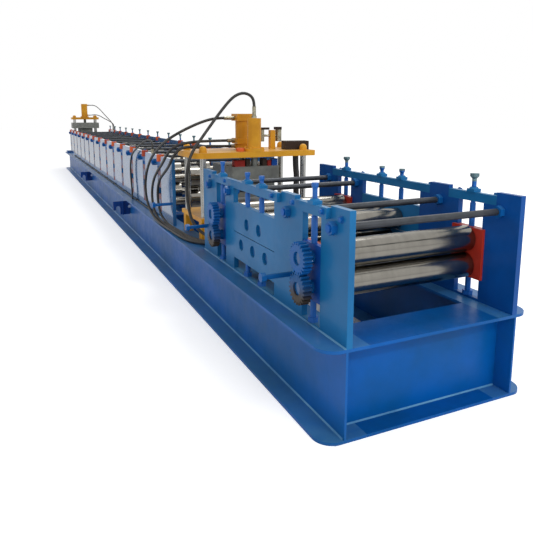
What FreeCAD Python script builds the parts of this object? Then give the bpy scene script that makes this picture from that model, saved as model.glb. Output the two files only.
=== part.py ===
import FreeCAD, Part
import Sketcher
import math
import os

from FreeCAD import Placement, Rotation, Vector

# Roll forming machine for steel purlins: a long welded base of two H beams, an entry stand
# with pinch rolls and levelling rolls, a hydraulic punching unit, a line of forming stations
# and a hydraulic cutter at the far end.
#
# Frame: +Z up, +Y along the machine from the entry end to the cutter, +X to the right.
# The origin is on the floor at the middle of the base. Places along the machine are given
# as distances from the entry end and shifted by half the base length.

doc = FreeCAD.newDocument("RollFormingMachine")
sheet = doc.addObject("Spreadsheet::Sheet", "Sizes")
rows = []


class Size:
    """A length that carries its expression in the sheet and its value."""

    def __init__(self, text, value):
        self.text = text
        self.value = value

    def combine(self, other, sign, value):
        text = other.text if isinstance(other, Size) else repr(other)
        return Size(f"({self.text} {sign} {text})", value)

    def __add__(self, other):
        return self.combine(other, "+", self.value + number(other))

    def __sub__(self, other):
        return self.combine(other, "-", self.value - number(other))

    def __mul__(self, other):
        return self.combine(other, "*", self.value * number(other))

    def __truediv__(self, other):
        return self.combine(other, "/", self.value / number(other))

    def __neg__(self):
        return Size(f"(0 - {self.text})", -self.value)


def number(length):
    return length.value if isinstance(length, Size) else length


def size(alias, value):
    """One driving size in the sheet."""
    row = len(rows) + 1
    rows.append(alias)
    sheet.set(f"A{row}", alias)
    sheet.set(f"B{row}", str(value))
    sheet.setAlias(f"B{row}", alias)
    return Size(f"Sizes.{alias}", value)


def bind(thing, field, length):
    """A field of an object takes its value from the sheet."""
    if isinstance(length, Size):
        thing.setExpression(field, length.text)
    else:
        thing.setExpression(field, repr(float(length)))


# Welded base
base_length = size("base_length", 12600)
beam_height = size("beam_height", 400)
beam_width = size("beam_width", 210)
web_thickness = size("web_thickness", 10)
flange_thickness = size("flange_thickness", 14)
end_setback = size("end_setback", 96)
flange_corner = size("flange_corner", 85)
end_beam_width = size("end_beam_width", 222)
cross_beam_width = size("cross_beam_width", 150)
lug_offset = base_length * 0.14
lug_foot = size("lug_foot", 178)
lug_top = size("lug_top", 331)
lug_reach = size("lug_reach", 188)
lug_thickness = size("lug_thickness", 14)
lug_bevel = size("lug_bevel", 22)
lug_hook = size("lug_hook", 30)
lug_hook_level = size("lug_hook_level", 232)
lug_mouth = size("lug_mouth", 46)
mouth_step = size("mouth_step", 2)
lug_slot = size("lug_slot", 35)
lug_rib_width = size("lug_rib_width", 60)

# Side plates stand on the beams, with their outer faces in line with the webs
plate_span = size("plate_span", 914)
plate_thickness = size("plate_thickness", 28)
plate_height = size("plate_height", 547)
running_gap = size("running_gap", 0.3)

# Entry stand, whose places along the plate are shares of its length
entry_length = size("entry_length", 1764)
slot_width = size("slot_width", 160)
front_slot_center = entry_length * 0.164
rear_slot_center = entry_length * 0.808
window_start = entry_length * 0.374
window_width = entry_length * 0.312
top_bar_height = size("top_bar_height", 44)
top_bar_drop = size("top_bar_drop", 17)
bar_lap = size("bar_lap", 75)
bar_block = size("bar_block", 44)
bar_block_depth = size("bar_block_depth", 22)
bar_block_level = size("bar_block_level", 917)
plate_sill = size("plate_sill", 12)

tie_rod_diameter = size("tie_rod_diameter", 32)
tie_rod_level = size("tie_rod_level", 862)
tie_nut_width = size("tie_nut_width", 50)
tie_nut_height = size("tie_nut_height", 26)
tie_rod_tail = size("tie_rod_tail", 6)
first_tie_rod = entry_length * 0.061
second_tie_rod = entry_length * 0.287
third_tie_rod = entry_length * 0.7245
fourth_tie_rod = entry_length * 0.918

# Strip line and entry rolls
pass_level = size("pass_level", 636)
gear_module = size("gear_module", 6)
gear_teeth = size("gear_teeth", 22)
gear_width = size("gear_width", 40)
gear_standoff = size("gear_standoff", 30)
gear_backlash = size("gear_backlash", 0.8)
gear_bore_recess = size("gear_bore_recess", 8)
pinch_roll_gap = size("pinch_roll_gap", 5)
pinch_journal = size("pinch_journal", 60)
chock_height = size("chock_height", 250)
chock_recess = size("chock_recess", 3)
chock_flange_width = size("chock_flange_width", 200)
chock_flange_thickness = size("chock_flange_thickness", 16)
roll_side_play = size("roll_side_play", 3)

leveller_roll = size("leveller_roll", 122)
leveller_bore = size("leveller_bore", 65)
leveller_pitch = window_width * 0.296
leveller_lower_level = size("leveller_lower_level", 573)
leveller_upper_level = size("leveller_upper_level", 703)
leveller_foot = size("leveller_foot", 80)
leveller_top_level = size("leveller_top_level", 802)
leveller_slit = size("leveller_slit", 4)
journal_recess = size("journal_recess", 12)

# Adjusting screws: a thick shank under the bar, a neck through it and a flat round head
screw_diameter = size("screw_diameter", 28)
screw_neck = size("screw_neck", 22)
screw_shoulder_gap = size("screw_shoulder_gap", 10)
pinch_screw_level = size("pinch_screw_level", 1020)
leveller_screw_level = size("leveller_screw_level", 992)
leveller_screw_pitch = window_width * 0.345
small_head = size("small_head", 30)
leveller_head = size("leveller_head", 33)
pinch_head = size("pinch_head", 43)
head_height = size("head_height", 14)
head_cone = size("head_cone", 12)
collar_width = size("collar_width", 46)
collar_height = size("collar_height", 16)
collar_top_width = size("collar_top_width", 36)
collar_cone = size("collar_cone", 8)
jack_nut_width = size("jack_nut_width", 44)
jack_nut_height = size("jack_nut_height", 22)

guard_post_diameter = size("guard_post_diameter", 24)
guard_post_length = size("guard_post_length", 155)
guard_post_level = size("guard_post_level", 576)
guard_post_front = entry_length * 0.27
guard_post_rear = entry_length * 0.952
guard_post_step = size("guard_post_step", 54)

# Punching unit, set a little to the right of the line's middle
punch_shift = size("punch_shift", 15)
punch_start = entry_length + 176
punch_depth = size("punch_depth", 510)
punch_plate_width = size("punch_plate_width", 954)
punch_plate_thickness = size("punch_plate_thickness", 40)
punch_plate_level = size("punch_plate_level", 995)
punch_plate_corner = size("punch_plate_corner", 80)
punch_plate_edge = size("punch_plate_edge", 10)
punch_bed_width = size("punch_bed_width", 874)
punch_bed_thickness = size("punch_bed_thickness", 30)
punch_bed_level = size("punch_bed_level", 540)
punch_leg = size("punch_leg", 60)
punch_column_side = size("punch_column_side", 77)
punch_column_inset = size("punch_column_inset", 55)
punch_column = size("punch_column", 45)
column_cap = size("column_cap", 56)
column_cap_height = size("column_cap_height", 47)
punch_rod = size("punch_rod", 50)
punch_rod_inset = size("punch_rod_inset", 70)
punch_rod_pitch = size("punch_rod_pitch", 240)
front_cylinder = size("front_cylinder", 101)
front_cylinder_height = size("front_cylinder_height", 240)
front_cylinder_flange = size("front_cylinder_flange", 150)
front_flange_height = size("front_flange_height", 22)
rear_cylinder = size("rear_cylinder", 103)
rear_cylinder_top = size("rear_cylinder_top", 1307)
rear_flange_width = size("rear_flange_width", 126)
rear_top_flange_level = size("rear_top_flange_level", 1254)
rear_low_flange_level = size("rear_low_flange_level", 1080)
rear_low_flange_top = size("rear_low_flange_top", 1122)
cylinder_cap = size("cylinder_cap", 30)
ram_reserve = size("ram_reserve", 120)
platen_width = size("platen_width", 372)
platen_depth = size("platen_depth", 440)
platen_level = size("platen_level", 828)
platen_height = size("platen_height", 98)
punch_holder_width = size("punch_holder_width", 300)
punch_holder_drop = size("punch_holder_drop", 123)
die_height = size("die_height", 60)
valve_post = size("valve_post", 41)
valve_post_height = size("valve_post_height", 146)
valve_post_shift = size("valve_post_shift", 261)
valve_post_inset = size("valve_post_inset", 291)
valve_level = size("valve_level", 1093)
valve_height = size("valve_height", 91)
valve_left_width = size("valve_left_width", 36)
valve_left_reach = size("valve_left_reach", 47)
valve_right_width = size("valve_right_width", 49)
valve_right_reach = size("valve_right_reach", 12)
valve_nipple = size("valve_nipple", 18)
junction_length = size("junction_length", 190)
junction_depth = size("junction_depth", 110)
junction_height = size("junction_height", 65)
junction_place = size("junction_place", 300)
junction_inset = size("junction_inset", 130)
junction_turn = size("junction_turn", 10)

# Forming line, whose stations stand closer at its first third
forming_start = punch_start + punch_depth + 150
exit_clearance = size("exit_clearance", 500)
forming_length = base_length - exit_clearance - forming_start
first_station = forming_start + forming_length * 0.0463
near_pitch = forming_length * 0.06695
far_pitch = forming_length * 0.07368
near_steps = 5
far_steps = 8
forming_slot = size("forming_slot", 120)
forming_mouth = size("forming_mouth", 50)
forming_tie_offset = size("forming_tie_offset", 155)
forming_tie_level = size("forming_tie_level", 880)
shaft_diameter = size("shaft_diameter", 70)
shaft_spacing = size("shaft_spacing", 212)
forming_roll_gap = size("forming_roll_gap", 5)
forming_roll_width = size("forming_roll_width", 90)
forming_roll_spread = size("forming_roll_spread", 300)
bearing_height = size("bearing_height", 150)
bearing_thickness = size("bearing_thickness", 24)
station_nut = size("station_nut", 64)
station_nut_height = size("station_nut_height", 60)
station_screw_level = size("station_screw_level", 1040)

# Cutter, set to the left of the line's middle
cutter_shift = size("cutter_shift", -77)
cutter_start = base_length - 450
cutter_depth = size("cutter_depth", 350)
cutter_bed_width = size("cutter_bed_width", 900)
cutter_bed_thickness = size("cutter_bed_thickness", 40)
cutter_plate_width = size("cutter_plate_width", 610)
cutter_plate_level = size("cutter_plate_level", 1188)
cutter_plate_thickness = size("cutter_plate_thickness", 50)
cutter_column = size("cutter_column", 45)
cutter_column_spread = size("cutter_column_spread", 478)
cutter_column_inset = size("cutter_column_inset", 60)
cutter_cylinder = size("cutter_cylinder", 140)
cutter_cylinder_height = size("cutter_cylinder_height", 319)
cutter_flange = size("cutter_flange", 190)
cutter_flange_height = size("cutter_flange_height", 25)
cutter_rod = size("cutter_rod", 60)
cutter_head_level = size("cutter_head_level", 980)
cutter_head_height = size("cutter_head_height", 130)
cutter_reserve = size("cutter_reserve", 190)
cutter_knife_width = size("cutter_knife_width", 340)
cutter_knife_thickness = size("cutter_knife_thickness", 12)
cutter_knife_level = size("cutter_knife_level", 700)
cutter_knife_gap = size("cutter_knife_gap", 6)
cutter_die_width = size("cutter_die_width", 400)
cutter_die_depth = size("cutter_die_depth", 100)
cutter_die_drop = size("cutter_die_drop", 6)

# Hoses and their fittings
hose_diameter = size("hose_diameter", 21)
thin_hose_diameter = size("thin_hose_diameter", 18)
duct_diameter = size("duct_diameter", 44)
fitting_diameter = size("fitting_diameter", 28)
fitting_base = size("fitting_base", 38)
fitting_base_height = size("fitting_base_height", 17)
stub_diameter = size("stub_diameter", 34)
hose_fitting_height = size("hose_fitting_height", 84)
upper_port_level = size("upper_port_level", 1275)
upper_fitting_length = size("upper_fitting_length", 84)
middle_port_level = size("middle_port_level", 1105)
middle_fitting_length = size("middle_fitting_length", 59)
lower_port_level = size("lower_port_level", 1062)
lower_fitting_length = size("lower_fitting_length", 30)
cutter_upper_port = size("cutter_upper_port", 1528)
cutter_lower_port = size("cutter_lower_port", 1290)
cutter_stub_reach = size("cutter_stub_reach", 15)
cutter_fitting_length = size("cutter_fitting_length", 30)
plate_fitting_height = size("plate_fitting_height", 38)
first_plate_fitting = size("first_plate_fitting", 1200)
second_plate_fitting = size("second_plate_fitting", 1340)
cable_fitting = size("cable_fitting", 3330)
manifold_left = size("manifold_left", -420)
manifold_width = size("manifold_width", 96)
manifold_gap = size("manifold_gap", 24)
manifold_length = size("manifold_length", 140)
manifold_height = size("manifold_height", 86)

doc.recompute()

web_face = plate_span / 2
beam_center = web_face - web_thickness / 2
plate_foot = beam_height
plate_top = beam_height + plate_height
plate_inner = web_face - plate_thickness
entry_end = -(base_length / 2)
exit_end = base_length / 2


def along(distance):
    """Place on the Y axis from the distance to the entry end."""
    return distance - base_length / 2


def place(thing, x, y, z):
    for axis, length in (("x", x), ("y", y), ("z", z)):
        bind(thing, f"Placement.Base.{axis}", length)
    return thing


def block(name, x, y, z, dx, dy, dz):
    """A box from its lowest corner and its three sizes."""
    thing = doc.addObject("Part::Box", name)
    bind(thing, "Length", dx)
    bind(thing, "Width", dy)
    bind(thing, "Height", dz)
    return place(thing, x, y, z)


turned = {"x": Rotation(Vector(0, 1, 0), 90), "y": Rotation(Vector(1, 0, 0), -90), "z": Rotation()}


def rod(name, axis, x, y, z, diameter, length):
    """A round bar from the middle of its first end, along +X, +Y or +Z."""
    thing = doc.addObject("Part::Cylinder", name)
    thing.Placement = Placement(Vector(), turned[axis])
    bind(thing, "Radius", diameter / 2)
    bind(thing, "Height", length)
    return place(thing, x, y, z)


def hexagon(name, axis, x, y, z, width, length):
    """A hexagon bar of a width across its flats."""
    thing = doc.addObject("Part::Prism", name)
    thing.Polygon = 6
    thing.Placement = Placement(Vector(), turned[axis])
    bind(thing, "Circumradius", width / math.sqrt(3))
    bind(thing, "Height", length)
    return place(thing, x, y, z)


def cone(name, x, y, z, foot_diameter, top_diameter, height):
    thing = doc.addObject("Part::Cone", name)
    bind(thing, "Radius1", foot_diameter / 2)
    bind(thing, "Radius2", top_diameter / 2)
    bind(thing, "Height", height)
    return place(thing, x, y, z)


def dome(name, x, y, z, diameter, height):
    """A round cap whose top is half a ball, one solid."""
    half = doc.addObject("Part::Sphere", f"{name}_ball")
    bind(half, "Radius", diameter / 2)
    half.Angle1 = 0
    place(half, x, y, z + height - diameter / 2)
    return fuse(name, [rod(f"{name}_wall", "z", x, y, z, diameter, height - diameter / 2), half])


def ring(name, axis, x, y, z, outer, inner, length):
    """A round ring along an axis."""
    return cut(name, rod(f"{name}_blank", axis, x, y, z, outer, length),
               [rod(f"{name}_hole", axis, x, y, z, inner, length)])


def fuse(name, pieces):
    thing = doc.addObject("Part::MultiFuse", name)
    thing.Shapes = pieces
    return thing


def cut(name, base, tools):
    thing = doc.addObject("Part::Cut", name)
    thing.Base = base
    thing.Tool = tools[0] if len(tools) == 1 else fuse(name + "_tools", tools)
    return thing


def group(name, pieces):
    """Separate solids of one node."""
    thing = doc.addObject("Part::Compound", name)
    thing.Links = pieces
    return thing


def rounded(name, plate, radius, wanted):
    """Rounds the edges of a plate for which wanted(edge) holds."""
    doc.recompute()
    thing = doc.addObject("Part::Fillet", name)
    thing.Base = plate
    thing.Edges = [(index, radius.value, radius.value)
                   for index, edge in enumerate(plate.Shape.Edges, 1) if wanted(edge)]
    return thing


def upright_at(x):
    """Tells an upright edge whose place across the machine is x."""
    return lambda edge: abs(edge.tangentAt(0).z) > 0.9 and abs(edge.CenterOfMass.x - number(x)) < 1


nodes = []


def node(name, thing):
    """Marks an object as a sub-part; its label names its file."""
    thing.Label = name
    nodes.append(thing)
    return thing


planes = {"XY": "XY_Plane", "XZ": "XZ_Plane", "YZ": "YZ_Plane"}


def body_with(name):
    return doc.addObject("PartDesign::Body", name)


def sketch_on(body, name, plane):
    sketch = body.newObject("Sketcher::SketchObject", name)
    origin = [p for p in body.Origin.OriginFeatures if p.Role == planes[plane]][0]
    sketch.AttachmentSupport = [(origin, "")]
    sketch.MapMode = "FlatFace"
    return sketch


def pin(sketch, edge, corner, across, up):
    """Holds one end of an edge at a place measured from the sketch's origin."""
    for kind, length in (("DistanceX", across), ("DistanceY", up)):
        index = sketch.addConstraint(Sketcher.Constraint(kind, -1, 1, edge, corner, number(length)))
        bind(sketch, f"Constraints[{index}]", length)


def outline(sketch, points):
    """A closed outline of straight edges through points held by sizes."""
    first = sketch.GeometryCount
    flat = [Vector(number(a), number(b), 0) for a, b in points]
    for start, end in zip(flat, flat[1:] + flat[:1]):
        sketch.addGeometry(Part.LineSegment(start, end))
    for k, (across, up) in enumerate(points):
        following = first + (k + 1) % len(points)
        sketch.addConstraint(Sketcher.Constraint("Coincident", first + k, 2, following, 1))
        pin(sketch, first + k, 1, across, up)


def circle(sketch, across, up, diameter):
    middle = Vector(number(across), number(up), 0)
    index = sketch.addGeometry(Part.Circle(middle, Vector(0, 0, 1), number(diameter) / 2))
    pin(sketch, index, 3, across, up)
    radius = sketch.addConstraint(Sketcher.Constraint("Diameter", index, number(diameter)))
    bind(sketch, f"Constraints[{radius}]", diameter)


def pad(body, name, sketch, length, reverse=False, both=False):
    feature = body.newObject("PartDesign::Pad", name)
    feature.Profile = sketch
    bind(feature, "Length", length)
    feature.Reversed = reverse
    feature.Midplane = both
    return feature


def rectangle(x, y, dx, dy):
    return [(x, y), (x + dx, y), (x + dx, y + dy), (x, y + dy)]


# Base beams: H sections lying side by side, whose flanges end in a rounded corner outside.
def base_beam(name, side):
    center = beam_center * side
    low = center - beam_width / 2
    outer = center + beam_width / 2 * side
    pieces = [block(f"{name}_web", center - web_thickness / 2, entry_end, flange_thickness, web_thickness,
                    base_length, beam_height - flange_thickness * 2)]
    for level, z in (("bottom", 0), ("top", beam_height - flange_thickness)):
        plate = block(f"{name}_{level}_flange", low, entry_end, z, beam_width, base_length, flange_thickness)
        pieces.append(rounded(f"{name}_{level}_rounded", plate, flange_corner, upright_at(outer)))
    node(name, fuse(name, pieces))


base_beam("base_beam_left", -1)
base_beam("base_beam_right", 1)

between_flanges = (beam_center - beam_width / 2) * 2
between_webs = (beam_center - web_thickness / 2) * 2


# Cross beams between the base beams: their webs reach the base beams' webs, and their flanges
# the base beams' flanges. The two end ones are set back, so that the frame's ends are open
# pockets under the flanges.
def cross_beam(name, web_center, start, width):
    pieces = [block(f"{name}_web", -(between_webs / 2), web_center - web_thickness / 2, flange_thickness,
                    between_webs, web_thickness, beam_height - flange_thickness * 2)]
    for level, z in (("bottom", 0), ("top", beam_height - flange_thickness)):
        pieces.append(block(f"{name}_{level}_flange", -(between_flanges / 2), start, z, between_flanges,
                            width, flange_thickness))
    return fuse(name, pieces)


end_web = end_setback + web_thickness / 2
cross_beams = [
    cross_beam("cross_beam_entry", along(end_web), entry_end, end_beam_width),
    cross_beam("cross_beam_exit", -along(end_web), exit_end - end_beam_width, end_beam_width),
]
inner_cross_beams = 3
for k in range(inner_cross_beams):
    middle = along(base_length * (k + 1) / (inner_cross_beams + 1))
    start = middle - cross_beam_width / 2
    cross_beams.append(cross_beam(f"cross_beam_{k + 1}", middle, start, cross_beam_width))
node("cross_beams", group("cross_beams", cross_beams))


# Lifting lugs on the webs: a hooked plate with a round mouth and a slot at the web, and an
# upright rib through its middle.
def lifting_lug(name, side, y):
    body = body_with(f"{name}_plate")
    sketch = sketch_on(body, f"{name}_outline", "XZ")
    neck = lug_reach - lug_hook - lug_mouth
    tip = lug_reach - lug_hook
    mouth_top = lug_hook_level + lug_bevel
    points = [
        (0, lug_foot + lug_bevel / 2), (lug_bevel / 2, lug_foot), (neck, lug_foot), (neck, mouth_top),
        (tip, mouth_top), (tip, lug_hook_level), (lug_reach, lug_hook_level), (lug_reach, lug_top),
        (lug_bevel, lug_top), (0, lug_top - lug_bevel),
    ]
    outline(sketch, [((web_face + reach) * side, level) for reach, level in points])
    pad(body, f"{name}_pad", sketch, lug_thickness, both=True)
    bind(body, "Placement.Base.y", y)
    rib_middle = (web_face + neck * 0.75) * side
    rib = block(f"{name}_rib", rib_middle - lug_thickness / 2, y - lug_rib_width / 2, lug_foot, lug_thickness,
                lug_rib_width, lug_top - lug_foot)
    mouth = rod(f"{name}_mouth", "y", (web_face + neck + lug_mouth / 2) * side, y - lug_thickness, mouth_top,
                lug_mouth - mouth_step, lug_thickness * 2)
    slot = rod(f"{name}_slot", "y", (web_face + lug_slot / 4) * side, y - lug_thickness,
               lug_hook_level + lug_slot, lug_slot, lug_thickness * 2)
    return fuse(name, [cut(f"{name}_cut", body, [mouth, slot]), rib])


lugs = [lifting_lug(f"lug_{label}_{k}", side, lug_offset * along_sign)
        for side, label in ((-1, "left"), (1, "right")) for k, along_sign in enumerate((-1, 1))]
node("lifting_lugs", group("lifting_lugs", lugs))


# Entry side plates: one plate a side with two roll slots and a window, all open at the top
# under bars that lie in shallow seats.
def entry_side_plate(name, side):
    body = body_with(name)
    sketch = sketch_on(body, f"{name}_outline", "YZ")
    bar_foot = plate_top - top_bar_drop - top_bar_height
    front_low = along(front_slot_center - slot_width / 2)
    front_high = along(front_slot_center + slot_width / 2)
    window_low = along(window_start)
    window_high = along(window_start + window_width)
    rear_low = along(rear_slot_center - slot_width / 2)
    rear_high = along(rear_slot_center + slot_width / 2)
    leave = along(entry_length)
    sill = plate_foot + plate_sill
    outline(sketch, [
        (entry_end, plate_foot), (leave, plate_foot), (leave, plate_top),
        (rear_high + bar_lap, plate_top), (rear_high + bar_lap, bar_foot),
        (rear_high, bar_foot), (rear_high, sill), (rear_low, sill), (rear_low, bar_foot),
        (window_high, bar_foot), (window_high, sill), (window_low, sill), (window_low, bar_foot),
        (window_low - bar_lap, bar_foot), (window_low - bar_lap, plate_top),
        (front_high + bar_lap, plate_top), (front_high + bar_lap, bar_foot),
        (front_high, bar_foot), (front_high, sill), (front_low, sill), (front_low, bar_foot),
        (front_low - bar_lap, bar_foot), (front_low - bar_lap, plate_top), (entry_end, plate_top),
    ])
    for center in (first_tie_rod, second_tie_rod, third_tie_rod, fourth_tie_rod):
        circle(sketch, along(center), tie_rod_level, tie_rod_diameter + running_gap * 2)
    pad(body, f"{name}_pad", sketch, plate_thickness)
    bind(body, "Placement.Base.x", -web_face if side < 0 else plate_inner)
    node(name, body)


entry_side_plate("entry_side_plate_left", -1)
entry_side_plate("entry_side_plate_right", 1)

bar_foot = plate_top - top_bar_drop - top_bar_height
bar_top = bar_foot + top_bar_height
front_bar_start = front_slot_center - slot_width / 2 - bar_lap
rear_bar_start = window_start - bar_lap
rear_bar_end = rear_slot_center + slot_width / 2 + bar_lap
front_bar_length = slot_width + bar_lap * 2
sides = ((-1, "left", -web_face), (1, "right", plate_inner))
leveller_middle = window_start + window_width / 2
screw_places = [
    (front_slot_center, pinch_screw_level, "pinch"),
    (leveller_middle - leveller_screw_pitch / 2, leveller_screw_level, "leveller"),
    (leveller_middle + leveller_screw_pitch / 2, leveller_screw_level, "leveller"),
    (rear_slot_center, pinch_screw_level, "pinch"),
]
chock_top = pass_level + chock_height / 2

# Bars over the slots and the window, with a stop block outside at each bar's start and the
# collars that guide the screws' necks
solids = []
for side, label, x in sides:
    middle = x + plate_thickness / 2
    outside = -web_face - bar_block_depth if side < 0 else web_face
    rear_bar_length = rear_bar_end - rear_bar_start
    bars = [("front", front_bar_start, front_bar_length, screw_places[:1]),
            ("rear", rear_bar_start, rear_bar_length, screw_places[1:])]
    for which, start, length, inside in bars:
        name = f"top_bar_{which}_{label}"
        pieces = [block(f"{name}_bar", x, along(start) + running_gap, bar_foot, plate_thickness,
                        length - running_gap * 2, top_bar_height),
                  block(f"{name}_stop", outside, along(start) + running_gap, bar_block_level - bar_block / 2,
                        bar_block_depth, bar_block, bar_block)]
        holes = []
        for c, level, kind in inside:
            pieces.append(block(f"{name}_collar", middle - collar_width / 2, along(c) - collar_width / 2,
                                bar_top, collar_width, collar_width, collar_height))
            pieces.append(cone(f"{name}_collar_cone", middle, along(c), bar_top + collar_height, collar_width,
                               collar_top_width, collar_cone))
            holes.append(rod(f"{name}_hole", "z", middle, along(c), bar_foot - screw_diameter,
                             screw_neck + running_gap * 2, screw_diameter * 6))
        solids.append(cut(name, fuse(f"{name}_blank", pieces), holes))
node("entry_top_bars", group("entry_top_bars", solids))


def headed_screw(name, x, y, foot, shoulder, top, head_width):
    """A screw with a thick shank, a thinner neck over the shoulder and a flat round head."""
    under_head = top - head_height
    return fuse(name, [
        rod(f"{name}_shank", "z", x, y, foot, screw_diameter, shoulder - foot),
        rod(f"{name}_neck", "z", x, y, shoulder, screw_neck, under_head - shoulder),
        cone(f"{name}_taper", x, y, under_head - head_cone, screw_neck, head_width, head_cone),
        rod(f"{name}_head", "z", x, y, under_head, head_width, head_height),
    ])


# Adjusting screws press on the bearing blocks and on the upper levelling plates
screws = []
for side, label, x in sides:
    middle = x + plate_thickness / 2
    for c, level, kind in screw_places:
        foot = chock_top if kind == "pinch" else leveller_top_level
        large = pinch_head if kind == "pinch" else leveller_head
        screws.append(headed_screw(f"adjusting_screw_{label}", middle, along(c), foot,
                                   bar_foot - screw_shoulder_gap, level, small_head if side < 0 else large))

# Jack screws carry the bearing blocks and the lower levelling plates from below
for side, label, x in sides:
    middle = x + plate_thickness / 2
    for c, level, kind in screw_places:
        foot = plate_foot + plate_sill
        top = pass_level - chock_height / 2 if kind == "pinch" else plate_foot + leveller_foot
        shank = rod(f"jack_{label}", "z", middle, along(c), foot, screw_diameter, top - foot)
        nut = hexagon(f"jack_nut_{label}", "z", middle, along(c), foot, jack_nut_width, jack_nut_height)
        screws.append(fuse(f"jack_screw_{label}", [shank, nut]))
node("adjusting_screws", group("adjusting_screws", screws))

# Stations of the forming line, from the entry end
station_places = [first_station + near_pitch * k for k in range(near_steps + 1)]
station_places += [station_places[-1] + far_pitch * (k + 1) for k in range(far_steps)]

# Tie rods hold the side plates at their span, between hexagon nuts
entry_ties = [(c, tie_rod_level) for c in (first_tie_rod, second_tie_rod, third_tie_rod, fourth_tie_rod)]
forming_ties = [(c + forming_tie_offset, forming_tie_level) for c in station_places]
tie_reach = web_face + tie_nut_height + tie_rod_tail
node("tie_rods", group("tie_rods", [rod("tie_rod", "x", -tie_reach, along(c), level, tie_rod_diameter,
                                        tie_reach * 2) for c, level in entry_ties + forming_ties]))


def tie_nut(x, c, level):
    blank = hexagon("tie_nut_blank", "x", x, along(c), level, tie_nut_width, tie_nut_height)
    bore = rod("tie_nut_bore", "x", x, along(c), level, tie_rod_diameter, tie_nut_height)
    return cut("tie_nut", blank, [bore])


outer_nuts = (-web_face - tie_nut_height, web_face)
inner_nuts = (-plate_inner, plate_inner - tie_nut_height)
nuts = [tie_nut(x, c, level) for c, level in entry_ties for x in outer_nuts + inner_nuts]
nuts += [tie_nut(x, c, level) for c, level in forming_ties for x in outer_nuts]
node("tie_rod_nuts", group("tie_rod_nuts", nuts))

# Bearing blocks of the pinch rolls fill the slots, with a flange on the plate's inner face
gear_spacing = gear_module * gear_teeth
roll_levels = {"lower": pass_level - gear_spacing / 2, "upper": pass_level + gear_spacing / 2}
chocks = []
for which, center in (("front", front_slot_center), ("rear", rear_slot_center)):
    for side, label, x in sides:
        width = slot_width - running_gap * 2
        foot = pass_level - chock_height / 2
        core_start = x + chock_recess if side < 0 else x
        core = block("chock", core_start, along(center) - width / 2, foot, plate_thickness - chock_recess,
                     width, chock_height)
        inner = plate_inner - chock_flange_thickness if side > 0 else -plate_inner
        flange = block("chock_flange", inner, along(center) - chock_flange_width / 2, foot,
                       chock_flange_thickness, chock_flange_width, chock_height)
        start = x - plate_thickness * 2
        bores = [rod("bore", "x", start, along(center), level, pinch_journal + running_gap * 2,
                     plate_thickness * 5) for level in roll_levels.values()]
        chocks.append(cut("pinch_bearing", fuse("chock_body", [core, flange]), bores))
node("pinch_bearing_blocks", group("pinch_bearing_blocks", chocks))


# A roller turned in one piece with its two journals, whose axis lies along X
def turned_roll(name, left, right, journal, shoulder, radius, y, z):
    body = body_with(name)
    sketch = sketch_on(body, f"{name}_profile", "XZ")
    outline(sketch, [
        (left, 0), (right, 0), (right, journal), (shoulder, journal),
        (shoulder, radius), (-shoulder, radius), (-shoulder, journal), (left, journal),
    ])
    feature = body.newObject("PartDesign::Revolution", f"{name}_turned")
    feature.Profile = sketch
    feature.ReferenceAxis = (sketch, ["H_Axis"])
    feature.Angle = 360
    bind(body, "Placement.Base.y", y)
    bind(body, "Placement.Base.z", z)
    node(name, body)


# Pinch rolls: the left journal ends a little inside the bore of its gear
roll_radius = (gear_spacing - pinch_roll_gap) / 2
roll_end = plate_inner - chock_flange_thickness - roll_side_play
gear_start = -web_face - gear_standoff - gear_width
for which, center in (("front", front_slot_center), ("rear", rear_slot_center)):
    for row, level in roll_levels.items():
        turned_roll(f"pinch_roll_{which}_{row}", gear_start + gear_bore_recess, web_face, pinch_journal / 2,
                    roll_end, roll_radius, along(center), level)


# Spur gears with involute flanks, seated on the journals
def gear_shape(phase):
    module = gear_module.value
    teeth = int(gear_teeth.value)
    pitch = module * teeth / 2
    angle = math.radians(20)
    base = pitch * math.cos(angle)
    tip = pitch + module
    root = pitch - 1.25 * module

    def involute(radius):
        t = math.sqrt(max(0, (radius / base) ** 2 - 1))
        return t - math.atan(t)

    half = math.pi / 2 / teeth - gear_backlash.value / 2 / pitch / 2
    start = max(base, root)
    radii = [start + (tip - start) * k / 3 for k in range(4)]

    def point(radius, turn):
        return Vector(0, radius * math.cos(turn), radius * math.sin(turn))

    edges = []
    for k in range(teeth):
        middle = phase + 2 * math.pi * k / teeth
        following = middle + 2 * math.pi / teeth
        offsets = [half + involute(pitch) - involute(r) for r in radii]
        rising = [point(r, middle - o) for r, o in zip(radii, offsets)]
        falling = [point(r, middle + o) for r, o in zip(reversed(radii), reversed(offsets))]
        foot_up = point(root, middle - offsets[0])
        foot_down = point(root, middle + offsets[0])
        next_foot = point(root, following - offsets[0])
        edges.append(Part.makeLine(foot_up, rising[0]))
        up = Part.BSplineCurve()
        up.interpolate(rising)
        edges.append(up.toShape())
        edges.append(Part.Arc(rising[-1], point(tip, middle), falling[0]).toShape())
        down = Part.BSplineCurve()
        down.interpolate(falling)
        edges.append(down.toShape())
        edges.append(Part.makeLine(falling[-1], foot_down))
        edges.append(Part.Arc(foot_down, point(root, (middle + following) / 2), next_foot).toShape())
    face = Part.Face(Part.Wire(edges))
    blank = face.extrude(Vector(gear_width.value, 0, 0))
    bore = Part.makeCylinder(pinch_journal.value / 2, gear_width.value * 3, Vector(-gear_width.value, 0, 0),
                             Vector(1, 0, 0))
    return blank.cut(bore)


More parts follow.
